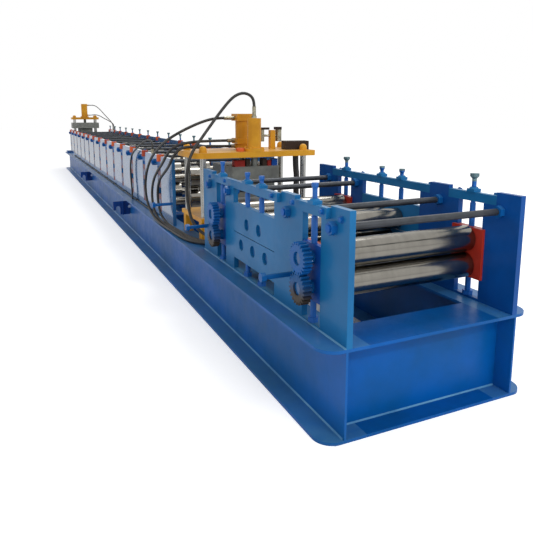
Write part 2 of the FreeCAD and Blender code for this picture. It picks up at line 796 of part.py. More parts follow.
# The teeth of the upper gear stand where the gaps of the lower gear are
for which, center in (("front", front_slot_center), ("rear", rear_slot_center)):
    for row, level in roll_levels.items():
        tooth = math.pi / int(gear_teeth.value)
        phase = math.pi / 2 if row == "lower" else -math.pi / 2 + tooth
        gear = doc.addObject("Part::Feature", f"pinch_gear_{which}_{row}")
        gear.Shape = gear_shape(phase)
        place(gear, gear_start, along(center), level)
        node(f"pinch_gear_{which}_{row}", gear)

# Levelling plates slide in the window: the lower one holds three rolls, the upper one two
leveller_low = plate_foot + leveller_foot
leveller_plates = []
leveller_rows = {
    "lower": (leveller_low, pass_level - leveller_slit / 2, leveller_lower_level, (-1, 0, 1)),
    "upper": (pass_level + leveller_slit / 2, leveller_top_level, leveller_upper_level, (-0.5, 0.5)),
}
for row, (low, high, level, shares) in leveller_rows.items():
    for side, label, x in sides:
        body = body_with(f"levelling_plate_{row}_{label}")
        sketch = sketch_on(body, f"levelling_outline_{row}_{label}", "YZ")
        outline(sketch, rectangle(along(window_start) + running_gap, low, window_width - running_gap * 2,
                                  high - low))
        for share in shares:
            circle(sketch, along(leveller_middle + leveller_pitch * share), level, leveller_bore)
        pad(body, f"levelling_pad_{row}_{label}", sketch, plate_thickness)
        bind(body, "Placement.Base.x", x)
        leveller_plates.append(body)
node("levelling_plates", group("levelling_plates", leveller_plates))

count = 0
for row, (low, high, level, shares) in leveller_rows.items():
    for share in shares:
        count += 1
        tip = web_face - journal_recess
        turned_roll(f"levelling_roll_{count}", -tip, tip, leveller_bore / 2 - running_gap,
                    plate_inner - roll_side_play, leveller_roll / 2,
                    along(leveller_middle + leveller_pitch * share), level)

# Posts with hexagon heads stand out of the left side plates, where the gears' cover is hung
posts = []
for c in (guard_post_front, guard_post_rear, forming_start + guard_post_step):
    bar = rod("guard_bar", "x", -web_face - guard_post_length, along(c), guard_post_level,
              guard_post_diameter, guard_post_length)
    cap = hexagon("guard_head", "x", -web_face - guard_post_length, along(c), guard_post_level,
                  guard_post_diameter * 1.6, guard_post_diameter)
    posts.append(fuse("guard_post", [bar, cap]))
node("gear_guard_posts", group("gear_guard_posts", posts))

# Punching unit: a bed welded on four legs, four columns, a head plate with two cylinders, and
# a platen that hangs on their rods over the die.
punch_low = along(punch_start)
punch_column_spread = punch_plate_width - punch_column_side * 2
punch_columns = [(punch_shift + punch_column_spread / 2 * sx, along(y)) for sx in (-1, 1)
                 for y in (punch_start + punch_column_inset, punch_start + punch_depth - punch_column_inset)]
bed_top = punch_bed_level + punch_bed_thickness
head_top = punch_plate_level + punch_plate_thickness
bed = [block("punch_bed_plate", punch_shift - punch_bed_width / 2, punch_low, punch_bed_level,
             punch_bed_width, punch_depth, punch_bed_thickness)]
bed += [block("punch_leg", x - punch_leg / 2, y - punch_leg / 2, plate_foot, punch_leg, punch_leg,
              punch_bed_level - plate_foot) for x, y in punch_columns]
node("punch_bed", fuse("punch_bed", bed))
node("punch_columns", group("punch_columns", [
    rod("punch_column", "z", x, y, bed_top, punch_column, head_top - bed_top) for x, y in punch_columns]))
rod_places = [along(punch_start + punch_rod_inset), along(punch_start + punch_rod_inset + punch_rod_pitch)]
plate = block("punch_plate", punch_shift - punch_plate_width / 2, punch_low, punch_plate_level,
              punch_plate_width, punch_depth, punch_plate_thickness)
plate_left = punch_shift - punch_plate_width / 2
plate_right = punch_shift + punch_plate_width / 2
plate = rounded("punch_plate_left", plate, punch_plate_corner, upright_at(plate_left))
plate = rounded("punch_plate_both", plate, punch_plate_edge, upright_at(plate_right))
valve_post_y = along(punch_start + valve_post_inset)
post = block("valve_post", valve_post_shift - valve_post / 2, valve_post_y - valve_post / 2, head_top,
             valve_post, valve_post, valve_post_height)
holes = [rod("column_hole", "z", x, y, punch_bed_level, punch_column + running_gap * 2, punch_plate_level)
         for x, y in punch_columns]
holes += [rod("rod_hole", "z", punch_shift, y, punch_bed_level, punch_rod + running_gap * 2,
              punch_plate_level) for y in rod_places]
node("punch_head_plate", fuse("punch_head_plate", [cut("punch_plate_drilled", plate, holes), post]))

# Front cylinder with a round foot, rear one between two square flanges; both are bored for
# their rods, and carry short stubs for their hoses.
front_y, rear_y = rod_places
front_barrel = fuse("front_barrel", [
    rod("front_tube", "z", punch_shift, front_y, head_top, front_cylinder, front_cylinder_height),
    rod("front_foot", "z", punch_shift, front_y, head_top, front_cylinder_flange, front_flange_height),
])
rear_half = rear_flange_width / 2
rear_barrel = fuse("rear_barrel", [
    rod("rear_tube", "z", punch_shift, rear_y, head_top, rear_cylinder, rear_cylinder_top - head_top),
    block("rear_top_flange", punch_shift - rear_half, rear_y - rear_half, rear_top_flange_level,
          rear_flange_width, rear_flange_width, rear_cylinder_top - rear_top_flange_level),
    block("rear_low_flange", punch_shift - rear_half, rear_y - rear_half, rear_low_flange_level,
          rear_flange_width, rear_flange_width, rear_low_flange_top - rear_low_flange_level),
    rod("rear_stub", "x", punch_shift - rear_half, rear_y, lower_port_level, stub_diameter, rear_half),
])
bores = [rod("barrel_bore", "z", punch_shift, y, head_top - punch_rod, punch_rod + running_gap * 2,
             height - cylinder_cap + punch_rod)
         for y, height in ((front_y, front_cylinder_height), (rear_y, rear_cylinder_top - head_top))]
node("punch_cylinders", group("punch_cylinders", [
    cut("punch_cylinder_front", front_barrel, [bores[0]]),
    cut("punch_cylinder_rear", rear_barrel, [bores[1]]),
]))

platen_top = platen_level + platen_height
platen_start = along(punch_start + (punch_depth - platen_depth) / 2)
platen = [
    block("platen_block", punch_shift - platen_width / 2, platen_start, platen_level, platen_width,
          platen_depth, platen_height),
    block("punch_holder", punch_shift - punch_holder_width / 2, platen_start,
          platen_level - punch_holder_drop, punch_holder_width, platen_depth, punch_holder_drop),
]
platen += [rod("ram", "z", punch_shift, y, platen_top, punch_rod, head_top + ram_reserve - platen_top)
           for y in rod_places]
node("punch_platen", fuse("punch_platen", platen))
node("punch_die", block("punch_die", punch_shift - platen_width / 2, platen_start, bed_top, platen_width,
                        platen_depth, die_height))

# Valves on both sides of the post, each on a short nipple
valves = []
valve_middle = valve_level + valve_height / 2
valve_sides = ((-1, valve_left_width, valve_left_reach), (1, valve_right_width, valve_right_reach))
for side, width, reach in valve_sides:
    x = valve_post_shift + (valve_post / 2 + reach + width / 2) * side
    tank = rod("valve_body", "z", x, valve_post_y, valve_level, width, valve_height)
    start = valve_post_shift + valve_post / 2 if side > 0 else x
    nipple = rod("valve_nipple", "x", start, valve_post_y, valve_middle, valve_nipple, reach + width / 2)
    valves.append(fuse("valve", [tank, nipple]))
node("punch_valves", group("punch_valves", valves))

# Junction box, turned a little on the head plate
box = block("junction_box", junction_place, along(punch_start + junction_inset), head_top, junction_length,
            junction_depth, junction_height)
box.Placement = Placement(Vector(), Rotation(Vector(0, 0, 1), -junction_turn.value))
place(box, junction_place, along(punch_start + junction_inset), head_top)
node("junction_box", box)

# Forming line: slotted side plates whose slots widen in a curve at the mouth
slot_foot = pass_level - shaft_spacing / 2 - bearing_height / 2
shaft_levels = {"lower": pass_level - shaft_spacing / 2, "upper": pass_level + shaft_spacing / 2}
forming_low = along(forming_start)
forming_high = along(forming_start + forming_length)


def slot_mouth(edge):
    """Tells an edge along X at the top corner of a slot."""
    middle = edge.CenterOfMass
    level = abs(edge.tangentAt(0).x) > 0.9 and abs(middle.z - plate_top.value) < 1
    sideways = [abs(middle.y - along(c).value) for c in station_places]
    return level and min(abs(distance - forming_slot.value / 2) for distance in sideways) < 1


for side, label, x in sides:
    body = body_with(f"forming_plate_{label}")
    sketch = sketch_on(body, f"forming_outline_{label}", "YZ")
    points = [(forming_low, plate_foot), (forming_high, plate_foot), (forming_high, plate_top)]
    for c in reversed(station_places):
        low = along(c) - forming_slot / 2
        high = along(c) + forming_slot / 2
        points += [(high, plate_top), (high, slot_foot), (low, slot_foot), (low, plate_top)]
    points.append((forming_low, plate_top))
    outline(sketch, points)
    for c in station_places:
        circle(sketch, along(c + forming_tie_offset), forming_tie_level, tie_rod_diameter + running_gap * 2)
    pad(body, f"forming_pad_{label}", sketch, plate_thickness)
    bind(body, "Placement.Base.x", x)
    plate = rounded(f"forming_side_plate_{label}", body, forming_mouth, slot_mouth)
    node(f"forming_side_plate_{label}", plate)

# Bearing blocks in the slots, a cap over them with a round nut, and the screws through both:
# those at the right end in a head, those at the left over the nut.
cap_top = plate_top - forming_mouth
cap_foot = cap_top - top_bar_height
blocks = []
caps = []
nuts = []
screws = []
for side, label, x in sides:
    middle = x + plate_thickness / 2
    depth = middle - bearing_thickness / 2
    for c in station_places:
        width = forming_slot - running_gap * 2
        for row, level in shaft_levels.items():
            chock = block("bearing", depth, along(c) - width / 2, level - bearing_height / 2,
                          bearing_thickness, width, bearing_height)
            bore = rod("bearing_bore", "x", depth - shaft_diameter, along(c), level,
                       shaft_diameter + running_gap * 2, bearing_thickness + shaft_diameter * 2)
            blocks.append(cut("bearing_block", chock, [bore]))
        cap = block("slot_cap", x, along(c) - width / 2, cap_foot, plate_thickness, width, top_bar_height)
        hole = rod("cap_hole", "z", middle, along(c), slot_foot, screw_neck + running_gap * 2, plate_height)
        caps.append(cut("slot_cap_with_hole", cap, [hole]))
        nuts.append(ring("station_nut", "z", middle, along(c), cap_top, station_nut, screw_neck,
                         station_nut_height))
        foot = shaft_levels["upper"] + bearing_height / 2
        shoulder = cap_foot - screw_shoulder_gap
        if side > 0:
            screws.append(headed_screw("station_screw", middle, along(c), foot, shoulder, station_screw_level,
                                       pinch_head))
        else:
            screws.append(fuse("station_screw", [
                rod("station_shank", "z", middle, along(c), foot, screw_diameter, shoulder - foot),
                rod("station_neck", "z", middle, along(c), shoulder, screw_neck,
                    cap_top + station_nut_height + tie_rod_tail - shoulder),
            ]))
node("forming_bearings", group("forming_bearings", blocks))
node("forming_slot_caps", group("forming_slot_caps", caps))
node("station_nuts", group("station_nuts", nuts))
node("forming_screws", group("forming_screws", screws))

# Shafts across the line, each with two rolls
node("forming_shafts", group("forming_shafts", [
    rod("forming_shaft", "x", -web_face, along(c), level, shaft_diameter, web_face * 2)
    for level in shaft_levels.values() for c in station_places]))
forming_roll = shaft_spacing - forming_roll_gap
rolls = []
for level in shaft_levels.values():
    for c in station_places:
        for sx in (-1, 1):
            start = forming_roll_spread / 2 * sx - forming_roll_width / 2
            rolls.append(ring("forming_roll", "x", start, along(c), level, forming_roll, shaft_diameter,
                              forming_roll_width))
node("forming_rolls", group("forming_rolls", rolls))

# Cutter: a bed across the beams, four columns, a head plate with one cylinder and a blade
# that slides down over the die.
cutter_low = along(cutter_start)
cutter_top = cutter_plate_level + cutter_plate_thickness
cutter_bed_top = beam_height + cutter_bed_thickness
cutter_middle = along(cutter_start + cutter_depth / 2)
node("cutter_bed", block("cutter_bed", cutter_shift - cutter_bed_width / 2, cutter_low, beam_height,
                         cutter_bed_width, cutter_depth, cutter_bed_thickness))
cutter_columns = [(cutter_shift + cutter_column_spread / 2 * sx, along(y)) for sx in (-1, 1)
                  for y in (cutter_start + cutter_column_inset,
                            cutter_start + cutter_depth - cutter_column_inset)]
node("cutter_columns", group("cutter_columns", [
    rod("cutter_column", "z", x, y, cutter_bed_top, cutter_column, cutter_top - cutter_bed_top)
    for x, y in cutter_columns]))
guides = [rod("cutter_guide", "z", x, y, beam_height, cutter_column + running_gap * 2, cutter_plate_level)
          for x, y in cutter_columns]
rod_hole = rod("cutter_rod_hole", "z", cutter_shift, cutter_middle, beam_height, cutter_rod + running_gap * 2,
               cutter_plate_level)
plate = block("cutter_plate", cutter_shift - cutter_plate_width / 2, cutter_low, cutter_plate_level,
              cutter_plate_width, cutter_depth, cutter_plate_thickness)
node("cutter_head_plate", cut("cutter_head_plate", plate, guides + [rod_hole]))
barrel = fuse("cutter_barrel", [
    rod("cutter_tube", "z", cutter_shift, cutter_middle, cutter_top, cutter_cylinder, cutter_cylinder_height),
    rod("cutter_foot", "z", cutter_shift, cutter_middle, cutter_top, cutter_flange, cutter_flange_height),
    rod("cutter_upper_stub", "x", cutter_shift, cutter_middle, cutter_upper_port, stub_diameter,
        cutter_cylinder / 2 + cutter_stub_reach),
    rod("cutter_lower_stub", "x", cutter_shift, cutter_middle, cutter_lower_port, stub_diameter,
        cutter_cylinder / 2 + cutter_stub_reach),
])
bore = rod("cutter_bore", "z", cutter_shift, cutter_middle, cutter_top - cutter_rod,
           cutter_rod + running_gap * 2, cutter_cylinder_height - cylinder_cap + cutter_rod)
node("cutter_cylinder", cut("cutter_cylinder", barrel, [bore]))
blade_head = block("cutter_blade_head", cutter_shift - cutter_plate_width / 2, cutter_low, cutter_head_level,
                   cutter_plate_width, cutter_depth, cutter_head_height)
ram = rod("cutter_ram", "z", cutter_shift, cutter_middle, cutter_head_level + cutter_head_height, cutter_rod,
          cutter_top + cutter_reserve - cutter_head_level - cutter_head_height)
knife = block("cutter_knife", cutter_shift - cutter_knife_width / 2,
              cutter_middle - cutter_knife_thickness / 2, cutter_knife_level, cutter_knife_width,
              cutter_knife_thickness,
              cutter_head_level - cutter_knife_level)
head_guides = [rod("blade_guide", "z", x, y, beam_height, cutter_column + running_gap * 2, cutter_plate_level)
               for x, y in cutter_columns]
node("cutter_blade", fuse("cutter_blade", [cut("cutter_head_guided", blade_head, head_guides), ram, knife]))
die_blocks = []
for sy in (-1, 1):
    gap = cutter_knife_thickness / 2 + cutter_knife_gap
    start = cutter_middle + gap if sy > 0 else cutter_middle - gap - cutter_die_depth
    die_blocks.append(block("cutter_die_block", cutter_shift - cutter_die_width / 2, start, cutter_bed_top,
                            cutter_die_width, cutter_die_depth,
                            pass_level - cutter_die_drop - cutter_bed_top))
node("cutter_die", group("cutter_die", die_blocks))

# Round caps on the columns of the punching unit and of the cutter
caps = [dome("column_cap", x, y, head_top, column_cap, column_cap_height) for x, y in punch_columns]
caps += [dome("column_cap", x, y, cutter_top, column_cap, column_cap_height) for x, y in cutter_columns]
node("column_caps", group("column_caps", caps))

# Manifold under the hoses, behind the left side plate of the entry stand
manifold_end = along(entry_length - manifold_gap)
node("hose_manifold", block("hose_manifold", manifold_left, manifold_end - manifold_length, beam_height,
                            manifold_width, manifold_length, manifold_height))

# Fittings at the hoses' ends
rear_face = punch_shift - rear_half
cutter_face = cutter_shift + cutter_cylinder / 2 + cutter_stub_reach
front_top = head_top + front_cylinder_height
plate_middle = web_face - plate_thickness / 2
fittings = [
    fuse("front_fitting", [
        rod("front_fitting_base", "z", punch_shift, front_y, front_top, fitting_base, fitting_base_height),
        rod("front_fitting_sleeve", "z", punch_shift, front_y, front_top, fitting_diameter,
            hose_fitting_height),
    ]),
]
for level, length in ((upper_port_level, upper_fitting_length), (middle_port_level, middle_fitting_length),
                      (lower_port_level, lower_fitting_length)):
    fittings.append(rod("rear_fitting", "x", rear_face - length, rear_y, level, fitting_diameter, length))
for level in (cutter_upper_port, cutter_lower_port):
    fittings.append(rod("cutter_fitting", "x", cutter_face, cutter_middle, level, fitting_diameter,
                        cutter_fitting_length))
for y in (exit_end - first_plate_fitting, exit_end - second_plate_fitting):
    fittings.append(rod("plate_fitting", "z", plate_middle, y, plate_top, fitting_diameter,
                        plate_fitting_height))
fittings.append(rod("cable_fitting", "z", -plate_middle, along(cable_fitting), plate_top, fitting_diameter,
                    plate_fitting_height))
node("hose_fittings", group("hose_fittings", fittings))


# Hoses: straight runs joined by tangent arcs, through points chosen along their way. The
# points are places across the machine, distances from one end of it, and levels.
def hose(name, diameter, end, points):
    way = [Vector(*point) for point in points]
    edges = []
    start = way[0]
    bends = []
    for before, corner, after in zip(way, way[1:], way[2:]):
        back = (before - corner).normalize()
        forth = (after - corner).normalize()
        turn = math.pi - back.getAngle(forth)
        reach = 0.45 * min(before.distanceToPoint(corner), after.distanceToPoint(corner))
        bend = reach / math.tan(turn / 2)
        bends.append(bend)
        top = corner + (back + forth).normalize() * (bend / math.cos(turn / 2) - bend)
        edges.append(Part.LineSegment(start, corner + back * reach).toShape())
        edges.append(Part.Arc(corner + back * reach, top, corner + forth * reach).toShape())
        start = corner + forth * reach
    edges.append(Part.LineSegment(start, way[-1]).toShape())
    route = Part.Wire(edges)
    section = Part.Wire([Part.makeCircle(diameter.value / 2, way[0], way[1] - way[0])])
    tube = route.makePipeShell([section], True, False)
    share = tube.Volume / (route.Length * math.pi * diameter.value ** 2 / 4)
    print(f"{name}: length {route.Length:.0f}, smallest bend {min(bends):.0f}, volume share {share:.4f}")
    if abs(share - 1) > 0.01:
        raise RuntimeError(f"{name} is not a clean tube")
    thing = doc.addObject("Part::Feature", name)
    thing.Shape = tube
    bind(thing, "Placement.Base.y", end)
    node(name, thing)


# From the top of the front cylinder over the left side of the head plate and down
hose("punch_hose_1", hose_diameter, entry_end, [
    (15, 2010, 1359), (15, 2010, 1400), (-14, 2009, 1441), (-74, 2008, 1457), (-144, 2006, 1430),
    (-212, 2004, 1362), (-300, 2000, 1256), (-395, 1988, 1138), (-486, 1962, 1030), (-520, 1950, 905),
    (-522, 1956, 770), (-514, 1942, 650), (-494, 1914, 550), (-447, 1862, 490), (-400, 1796, 464),
    (-400, 1740, 464),
])
# From the rear cylinder's upper, middle and lower ports, in loops beside the forming line and
# back along the flange
hose("punch_hose_2", hose_diameter, entry_end, [
    (-132, 2250, 1275), (-200, 2250, 1275), (-300, 2250, 1250), (-400, 2252, 1210), (-500, 2275, 1158),
    (-550, 2400, 1102), (-565, 2600, 1032), (-567, 2850, 944), (-567, 3040, 815), (-567, 3130, 665),
    (-566, 3050, 520), (-560, 2860, 440), (-545, 2640, 414), (-533, 2400, 413), (-529, 2200, 414),
    (-517, 2060, 413), (-490, 1940, 414), (-432, 1850, 417), (-400, 1786, 426), (-400, 1740, 426),
])
hose("punch_hose_3", hose_diameter, entry_end, [
    (-107, 2250, 1105), (-170, 2250, 1105), (-265, 2250, 1104), (-365, 2250, 1101), (-455, 2252, 1090),
    (-530, 2272, 1062), (-550, 2380, 1000), (-542, 2560, 915), (-540, 2740, 845), (-540, 2900, 755),
    (-540, 2985, 640), (-540, 2960, 520), (-537, 2830, 440), (-520, 2640, 414), (-507, 2400, 413),
    (-503, 2200, 414), (-490, 2070, 413), (-462, 1950, 414), (-404, 1850, 417), (-372, 1786, 426),
    (-372, 1740, 426),
])
hose("punch_hose_4", hose_diameter, entry_end, [
    (-78, 2250, 1062), (-150, 2250, 1062), (-240, 2250, 1065), (-340, 2250, 1064), (-425, 2250, 1062),
    (-480, 2262, 1052), (-524, 2310, 985), (-520, 2440, 905), (-513, 2620, 838), (-513, 2790, 770),
    (-513, 2882, 670), (-513, 2876, 560), (-512, 2790, 460), (-497, 2620, 414), (-481, 2400, 413),
    (-477, 2200, 414), (-466, 2080, 413), (-434, 1960, 414), (-376, 1850, 417), (-344, 1786, 426),
    (-344, 1740, 426),
])
# Duct for the cables, between the head plate and the bed beside the right front column
hose("punch_duct", duct_diameter, entry_end, [
    (352, 1998, 995), (352, 1998, 920), (365, 2001, 830), (360, 2004, 735), (366, 2003, 645),
    (366, 2003, 570),
])
# From the cutter's two ports over to fittings on the right side plate
hose("cutter_hose_1", thin_hose_diameter, exit_end, [
    (38, -275, 1528), (80, -275, 1528), (135, -310, 1529), (190, -400, 1500), (243, -520, 1442),
    (292, -650, 1364), (340, -790, 1280), (392, -930, 1202), (424, -1050, 1146), (438, -1145, 1099),
    (442, -1182, 1066), (443, -1200, 1027), (443, -1200, 985),
])
hose("cutter_hose_2", thin_hose_diameter, exit_end, [
    (38, -275, 1290), (85, -275, 1290), (145, -310, 1301), (205, -420, 1294), (262, -560, 1264),
    (308, -710, 1219), (350, -870, 1188), (388, -1040, 1152), (422, -1190, 1118), (437, -1284, 1092),
    (442, -1322, 1062), (443, -1340, 1025), (443, -1340, 985),
])
# Cable from the top of the left side plate down to the flange
hose("station_cable", thin_hose_diameter, entry_end, [
    (-443, 3330, 985), (-443, 3330, 1015), (-443, 3346, 1043), (-446, 3378, 1062), (-455, 3430, 1067),
    (-470, 3520, 1056), (-484, 3660, 1018), (-489, 3830, 968), (-489, 4010, 925), (-488, 4160, 865),
    (-487, 4235, 770), (-487, 4245, 660), (-487, 4215, 550), (-487, 4193, 470), (-487, 4193, 400),
])

# Every object has to be whole before the parts are written
doc.recompute()
faults = [thing.Name for thing in doc.Objects if "Invalid" in thing.State or "Error" in thing.State]
for thing in nodes:
    if thing.Shape.isNull() or not thing.Shape.isValid() or not thing.Shape.Solids:
        faults.append(thing.Label)
if faults:
    raise RuntimeError(f"not whole: {faults}")
os.makedirs("parts", exist_ok=True)
for thing in nodes:
    thing.Shape.exportStep(f"parts/{thing.Label}.step")
print(len(nodes), "nodes")
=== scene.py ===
import math

import bpy
from mathutils import Matrix, Vector


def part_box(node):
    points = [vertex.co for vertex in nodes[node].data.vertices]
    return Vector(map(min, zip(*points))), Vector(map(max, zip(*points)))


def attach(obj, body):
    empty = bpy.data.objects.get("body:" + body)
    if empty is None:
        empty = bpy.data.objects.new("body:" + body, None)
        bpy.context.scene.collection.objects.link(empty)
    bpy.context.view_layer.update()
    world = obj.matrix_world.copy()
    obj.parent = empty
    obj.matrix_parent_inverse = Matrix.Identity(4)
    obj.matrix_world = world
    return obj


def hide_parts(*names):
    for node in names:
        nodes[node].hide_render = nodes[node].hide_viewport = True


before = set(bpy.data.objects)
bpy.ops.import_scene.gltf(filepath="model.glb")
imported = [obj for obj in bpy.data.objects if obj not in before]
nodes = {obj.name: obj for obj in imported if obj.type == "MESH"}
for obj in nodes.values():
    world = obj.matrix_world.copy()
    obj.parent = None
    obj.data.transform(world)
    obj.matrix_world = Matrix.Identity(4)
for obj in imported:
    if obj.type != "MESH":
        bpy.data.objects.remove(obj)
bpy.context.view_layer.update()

# Roll forming machine for steel purlins, from its entry end to its cutter, in a pale studio

MACHINE = "machine"
bpy.ops.object.select_all(action="DESELECT")


# Base: two long H beams with cross beams between them and lugs for lifting, all of hot rolled
# steel. They are welded together and sprayed with blue machine enamel, which gives a soft
# sheen. Pale dust lies on the long beams. On the cross beams, what faces up is darkened to
# navy instead, a painted shade under the machine.
BLUE = "#005aab"
ENTRY_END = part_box("base_beam_left")[0][1]
EXIT_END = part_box("base_beam_left")[1][1]

# Sizes of the enamel's patterns in millimetres: patches from coat to coat, runs of grime down
# the walls, specks of dust, and the ripple of the sprayed film. A real ripple is finer, and
# this one is drawn as coarse as it needs to show.
PATCH = 454.5
RUN_WIDTH, RUN_LENGTH = 38.46, 625
SPECK = 111.1
RIPPLE = 4.762
DUST_ON_TOP, DUST_ON_WALLS = 0.55, 0.066
COAT_ROUGHNESS = 0.08
SHARP = math.radians(40)


def colour(hexadecimal):
    """The linear colour of an sRGB hex value."""
    parts = [int(hexadecimal[k:k + 2], 16) / 255 for k in (1, 3, 5)]
    return [part / 12.92 if part <= 0.04045 else ((part + 0.055) / 1.055) ** 2.4
            for part in parts] + [1]


def add(owner, kind, links=(), **settings):
    """A shader node with its settings and its links: own socket, other node, its socket."""
    tree = owner.node_tree
    thing = tree.nodes.new(kind)
    for name, value in settings.items():
        socket = name.replace("_", " ").title()
        if socket in thing.inputs:
            thing.inputs[socket].default_value = value
        else:
            setattr(thing, name, value)
    for own, other, their in links:
        tree.links.new(other.outputs[their], thing.inputs[own])
    return thing


def blank(name, metallic=0.0, roughness=0.5, coat=0.0, specular=0.5):
    """A bare material, before its patterns."""
    material = bpy.data.materials.new(name)
    material.use_nodes = True
    sockets = material.node_tree.nodes["Principled BSDF"].inputs
    sockets["Metallic"].default_value = metallic
    sockets["Roughness"].default_value = roughness
    sockets["Coat Weight"].default_value = coat
    sockets["Coat Roughness"].default_value = COAT_ROUGHNESS
    sockets["Specular IOR Level"].default_value = specular
    return material


def cover(material, **patterns):
    """Links each pattern to the part of the surface that it is named for."""
    shader = material.node_tree.nodes["Principled BSDF"]
    for name, pattern in patterns.items():
        socket = shader.inputs[name.replace("_", " ").title()]
        material.node_tree.links.new(pattern.outputs[0], socket)


def enamel(name, fresh, darker, dust, gloss=(0.28, 0.48), grime=0.35, coat=0.0):
    """Sprayed machine enamel, which looks patchy from coat to coat, dusty where it faces up,
    grimy in thin runs down the walls, and a little rippled where light glances off it."""
    material = blank(name, coat=coat, specular=0.15)
    place = add(material, "ShaderNodeTexCoord")
    patches = add(material, "ShaderNodeTexNoise", [("Vector", place, "Object")],
                  scale=1000 / PATCH, detail=7.0, roughness=0.62)
    coats = add(material, "ShaderNodeMapRange", [("Value", patches, 0)],
                from_min=0.32, from_max=0.62)
    base = add(material, "ShaderNodeMixRGB", [("Fac", coats, 0)],
               color1=colour(darker), color2=colour(fresh))
    falling = add(material, "ShaderNodeMapping", [("Vector", place, "Object")],
                  scale=(1000 / RUN_WIDTH, 1000 / RUN_WIDTH, 1000 / RUN_LENGTH))
    runs = add(material, "ShaderNodeTexNoise", [("Vector", falling, 0)],
               scale=1.0, detail=5.0, roughness=0.7)
    grimy = add(material, "ShaderNodeMapRange", [("Value", runs, 0)],
                from_min=0.56, from_max=0.82, to_max=grime)
    dirty = add(material, "ShaderNodeMixRGB", [("Fac", grimy, 0), ("Color1", base, 0)],
                color2=colour(darker))
    facing = add(material, "ShaderNodeNewGeometry")
    way = add(material, "ShaderNodeSeparateXYZ", [("Vector", facing, "Normal")])
    shelf = add(material, "ShaderNodeMapRange", [("Value", way, "Z")],
                from_min=0.75, from_max=0.98, to_min=DUST_ON_WALLS, to_max=DUST_ON_TOP)
    specks = add(material, "ShaderNodeTexNoise", [("Vector", place, "Object")],
                 scale=1000 / SPECK, detail=9.0, roughness=0.75)
    settled = add(material, "ShaderNodeMath", [(0, shelf, 0), (1, specks, 0)],
                  operation="MULTIPLY")
    dusty = add(material, "ShaderNodeMixRGB", [("Fac", settled, 0), ("Color1", dirty, 0)],
                color2=colour(dust))
    dull = add(material, "ShaderNodeMapRange", [("Value", specks, 0)],
               from_min=0.35, from_max=0.7, to_min=gloss[0], to_max=gloss[1])
    ripple = add(material, "ShaderNodeTexNoise", [("Vector", place, "Object")],
                 scale=1000 / RIPPLE, detail=2.0)
    bump = add(material, "ShaderNodeBump", [("Height", ripple, 0)], strength=0.05,
               distance=0.001)
    cover(material, base_color=dusty, roughness=dull, normal=bump)
    return material


def dress(finish, *names):
    """Gives nodes of the machine their finish."""
    for name in names:
        nodes[name].data.materials.clear()
        nodes[name].data.materials.append(finish)


def round_edges(width, *names):
    """Rounds the cut edges of nodes, so that they catch the light."""
    for name in names:
        rounding = nodes[name].modifiers.new("rounded edges", "BEVEL")
        rounding.width = width
        rounding.segments = 2
        rounding.limit_method = "ANGLE"
        rounding.angle_limit = SHARP


BLUE_ENAMEL = enamel("blue enamel", BLUE, "#034f88", "#5f8fa0", coat=0.1)
# This enamel turns dark navy where it faces up: painted shade on the cross beams under the
# machine.
CROSS_BEAM_SHADE_ENAMEL = enamel("blue enamel with painted shade on top", BLUE, "#034f88", "#0c3462")
DEEP_ENAMEL = enamel("deep blue enamel", "#0b4392", "#0b3275", "#5d7f90", coat=0.1)
dress(BLUE_ENAMEL, "base_beam_left", "base_beam_right")
dress(CROSS_BEAM_SHADE_ENAMEL, "cross_beams")
dress(DEEP_ENAMEL, "lifting_lugs")
round_edges(0.001, "base_beam_left", "base_beam_right", "lifting_lugs")


# Side plates of the entry stand with the bars over their slots, burned from steel plate and
# sprayed blue. The left plate, the bars and the levelling plates are painted a lighter, greener
# blue as painted light, and the right plate a deeper blue as painted shade.
# Lit and shaded copies of one blue: the first is painted light, the second painted shade.
LIT_BLUE_ENAMEL = enamel("blue enamel painted lighter as lit", "#0a6aa4", "#0b5d92", "#6f98a8", coat=0.1)
SHADED_BLUE_ENAMEL = enamel("blue enamel painted deeper as shaded", "#0450a0", "#043f80", "#3f6d8c", coat=0.1)
dress(LIT_BLUE_ENAMEL, "entry_side_plate_left", "entry_top_bars", "levelling_plates")
dress(SHADED_BLUE_ENAMEL, "entry_side_plate_right")
round_edges(0.0015, "entry_side_plate_left", "entry_side_plate_right", "entry_top_bars")


# Hexagon bolts near the ends of the bars over the side plates, each on its washer. The heads
# are pressed steel, chamfered towards the top, and were painted over with the plates.
BOLT_RADIUS = 0.0115
BOLT_HEIGHT = 0.009
BOLT_CHAMFER, BOLT_DOME = 0.0018, 0.0012
STAMP_RIM, STAMP_DEPTH = 0.003, 0.0006
WASHER_RADIUS = BOLT_RADIUS * 1.3
WASHER = 0.003
WASHER_EDGE = 0.0006
BAR_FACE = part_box("entry_top_bars")[1][0]
PLATE_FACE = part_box("entry_side_plate_right")[1][0]
# How far out each bolt stands from the middle of the machine, how far along, and how high
BOLT_PLACES = (
    (PLATE_FACE, 0.054, 0.905), (BAR_FACE, 0.421, 0.920), (BAR_FACE, 0.640, 0.920),
    (BAR_FACE, 1.289, 0.920), (BAR_FACE, 1.560, 0.920), (BAR_FACE, 0.165, 0.920),
)


def ready(name):
    """Names what has just been added and leaves its mesh open for shaping."""
    thing = bpy.context.object
    thing.name = name
    bpy.ops.object.transform_apply(location=True, rotation=True, scale=True)
    bpy.ops.object.mode_set(mode="EDIT")
    bpy.ops.mesh.select_mode(type="FACE")
    bpy.ops.mesh.select_all(action="DESELECT")
    return thing


def pick(thing, chosen):
    """Selects the faces whose place and direction are chosen."""
    bpy.ops.object.mode_set(mode="OBJECT")
    for face in thing.data.polygons:
        face.select = bool(chosen(face.center, face.normal))
    bpy.ops.object.mode_set(mode="EDIT")


def facing_up(place, way):
    """Faces that look straight up."""
    return way.z > 0.9


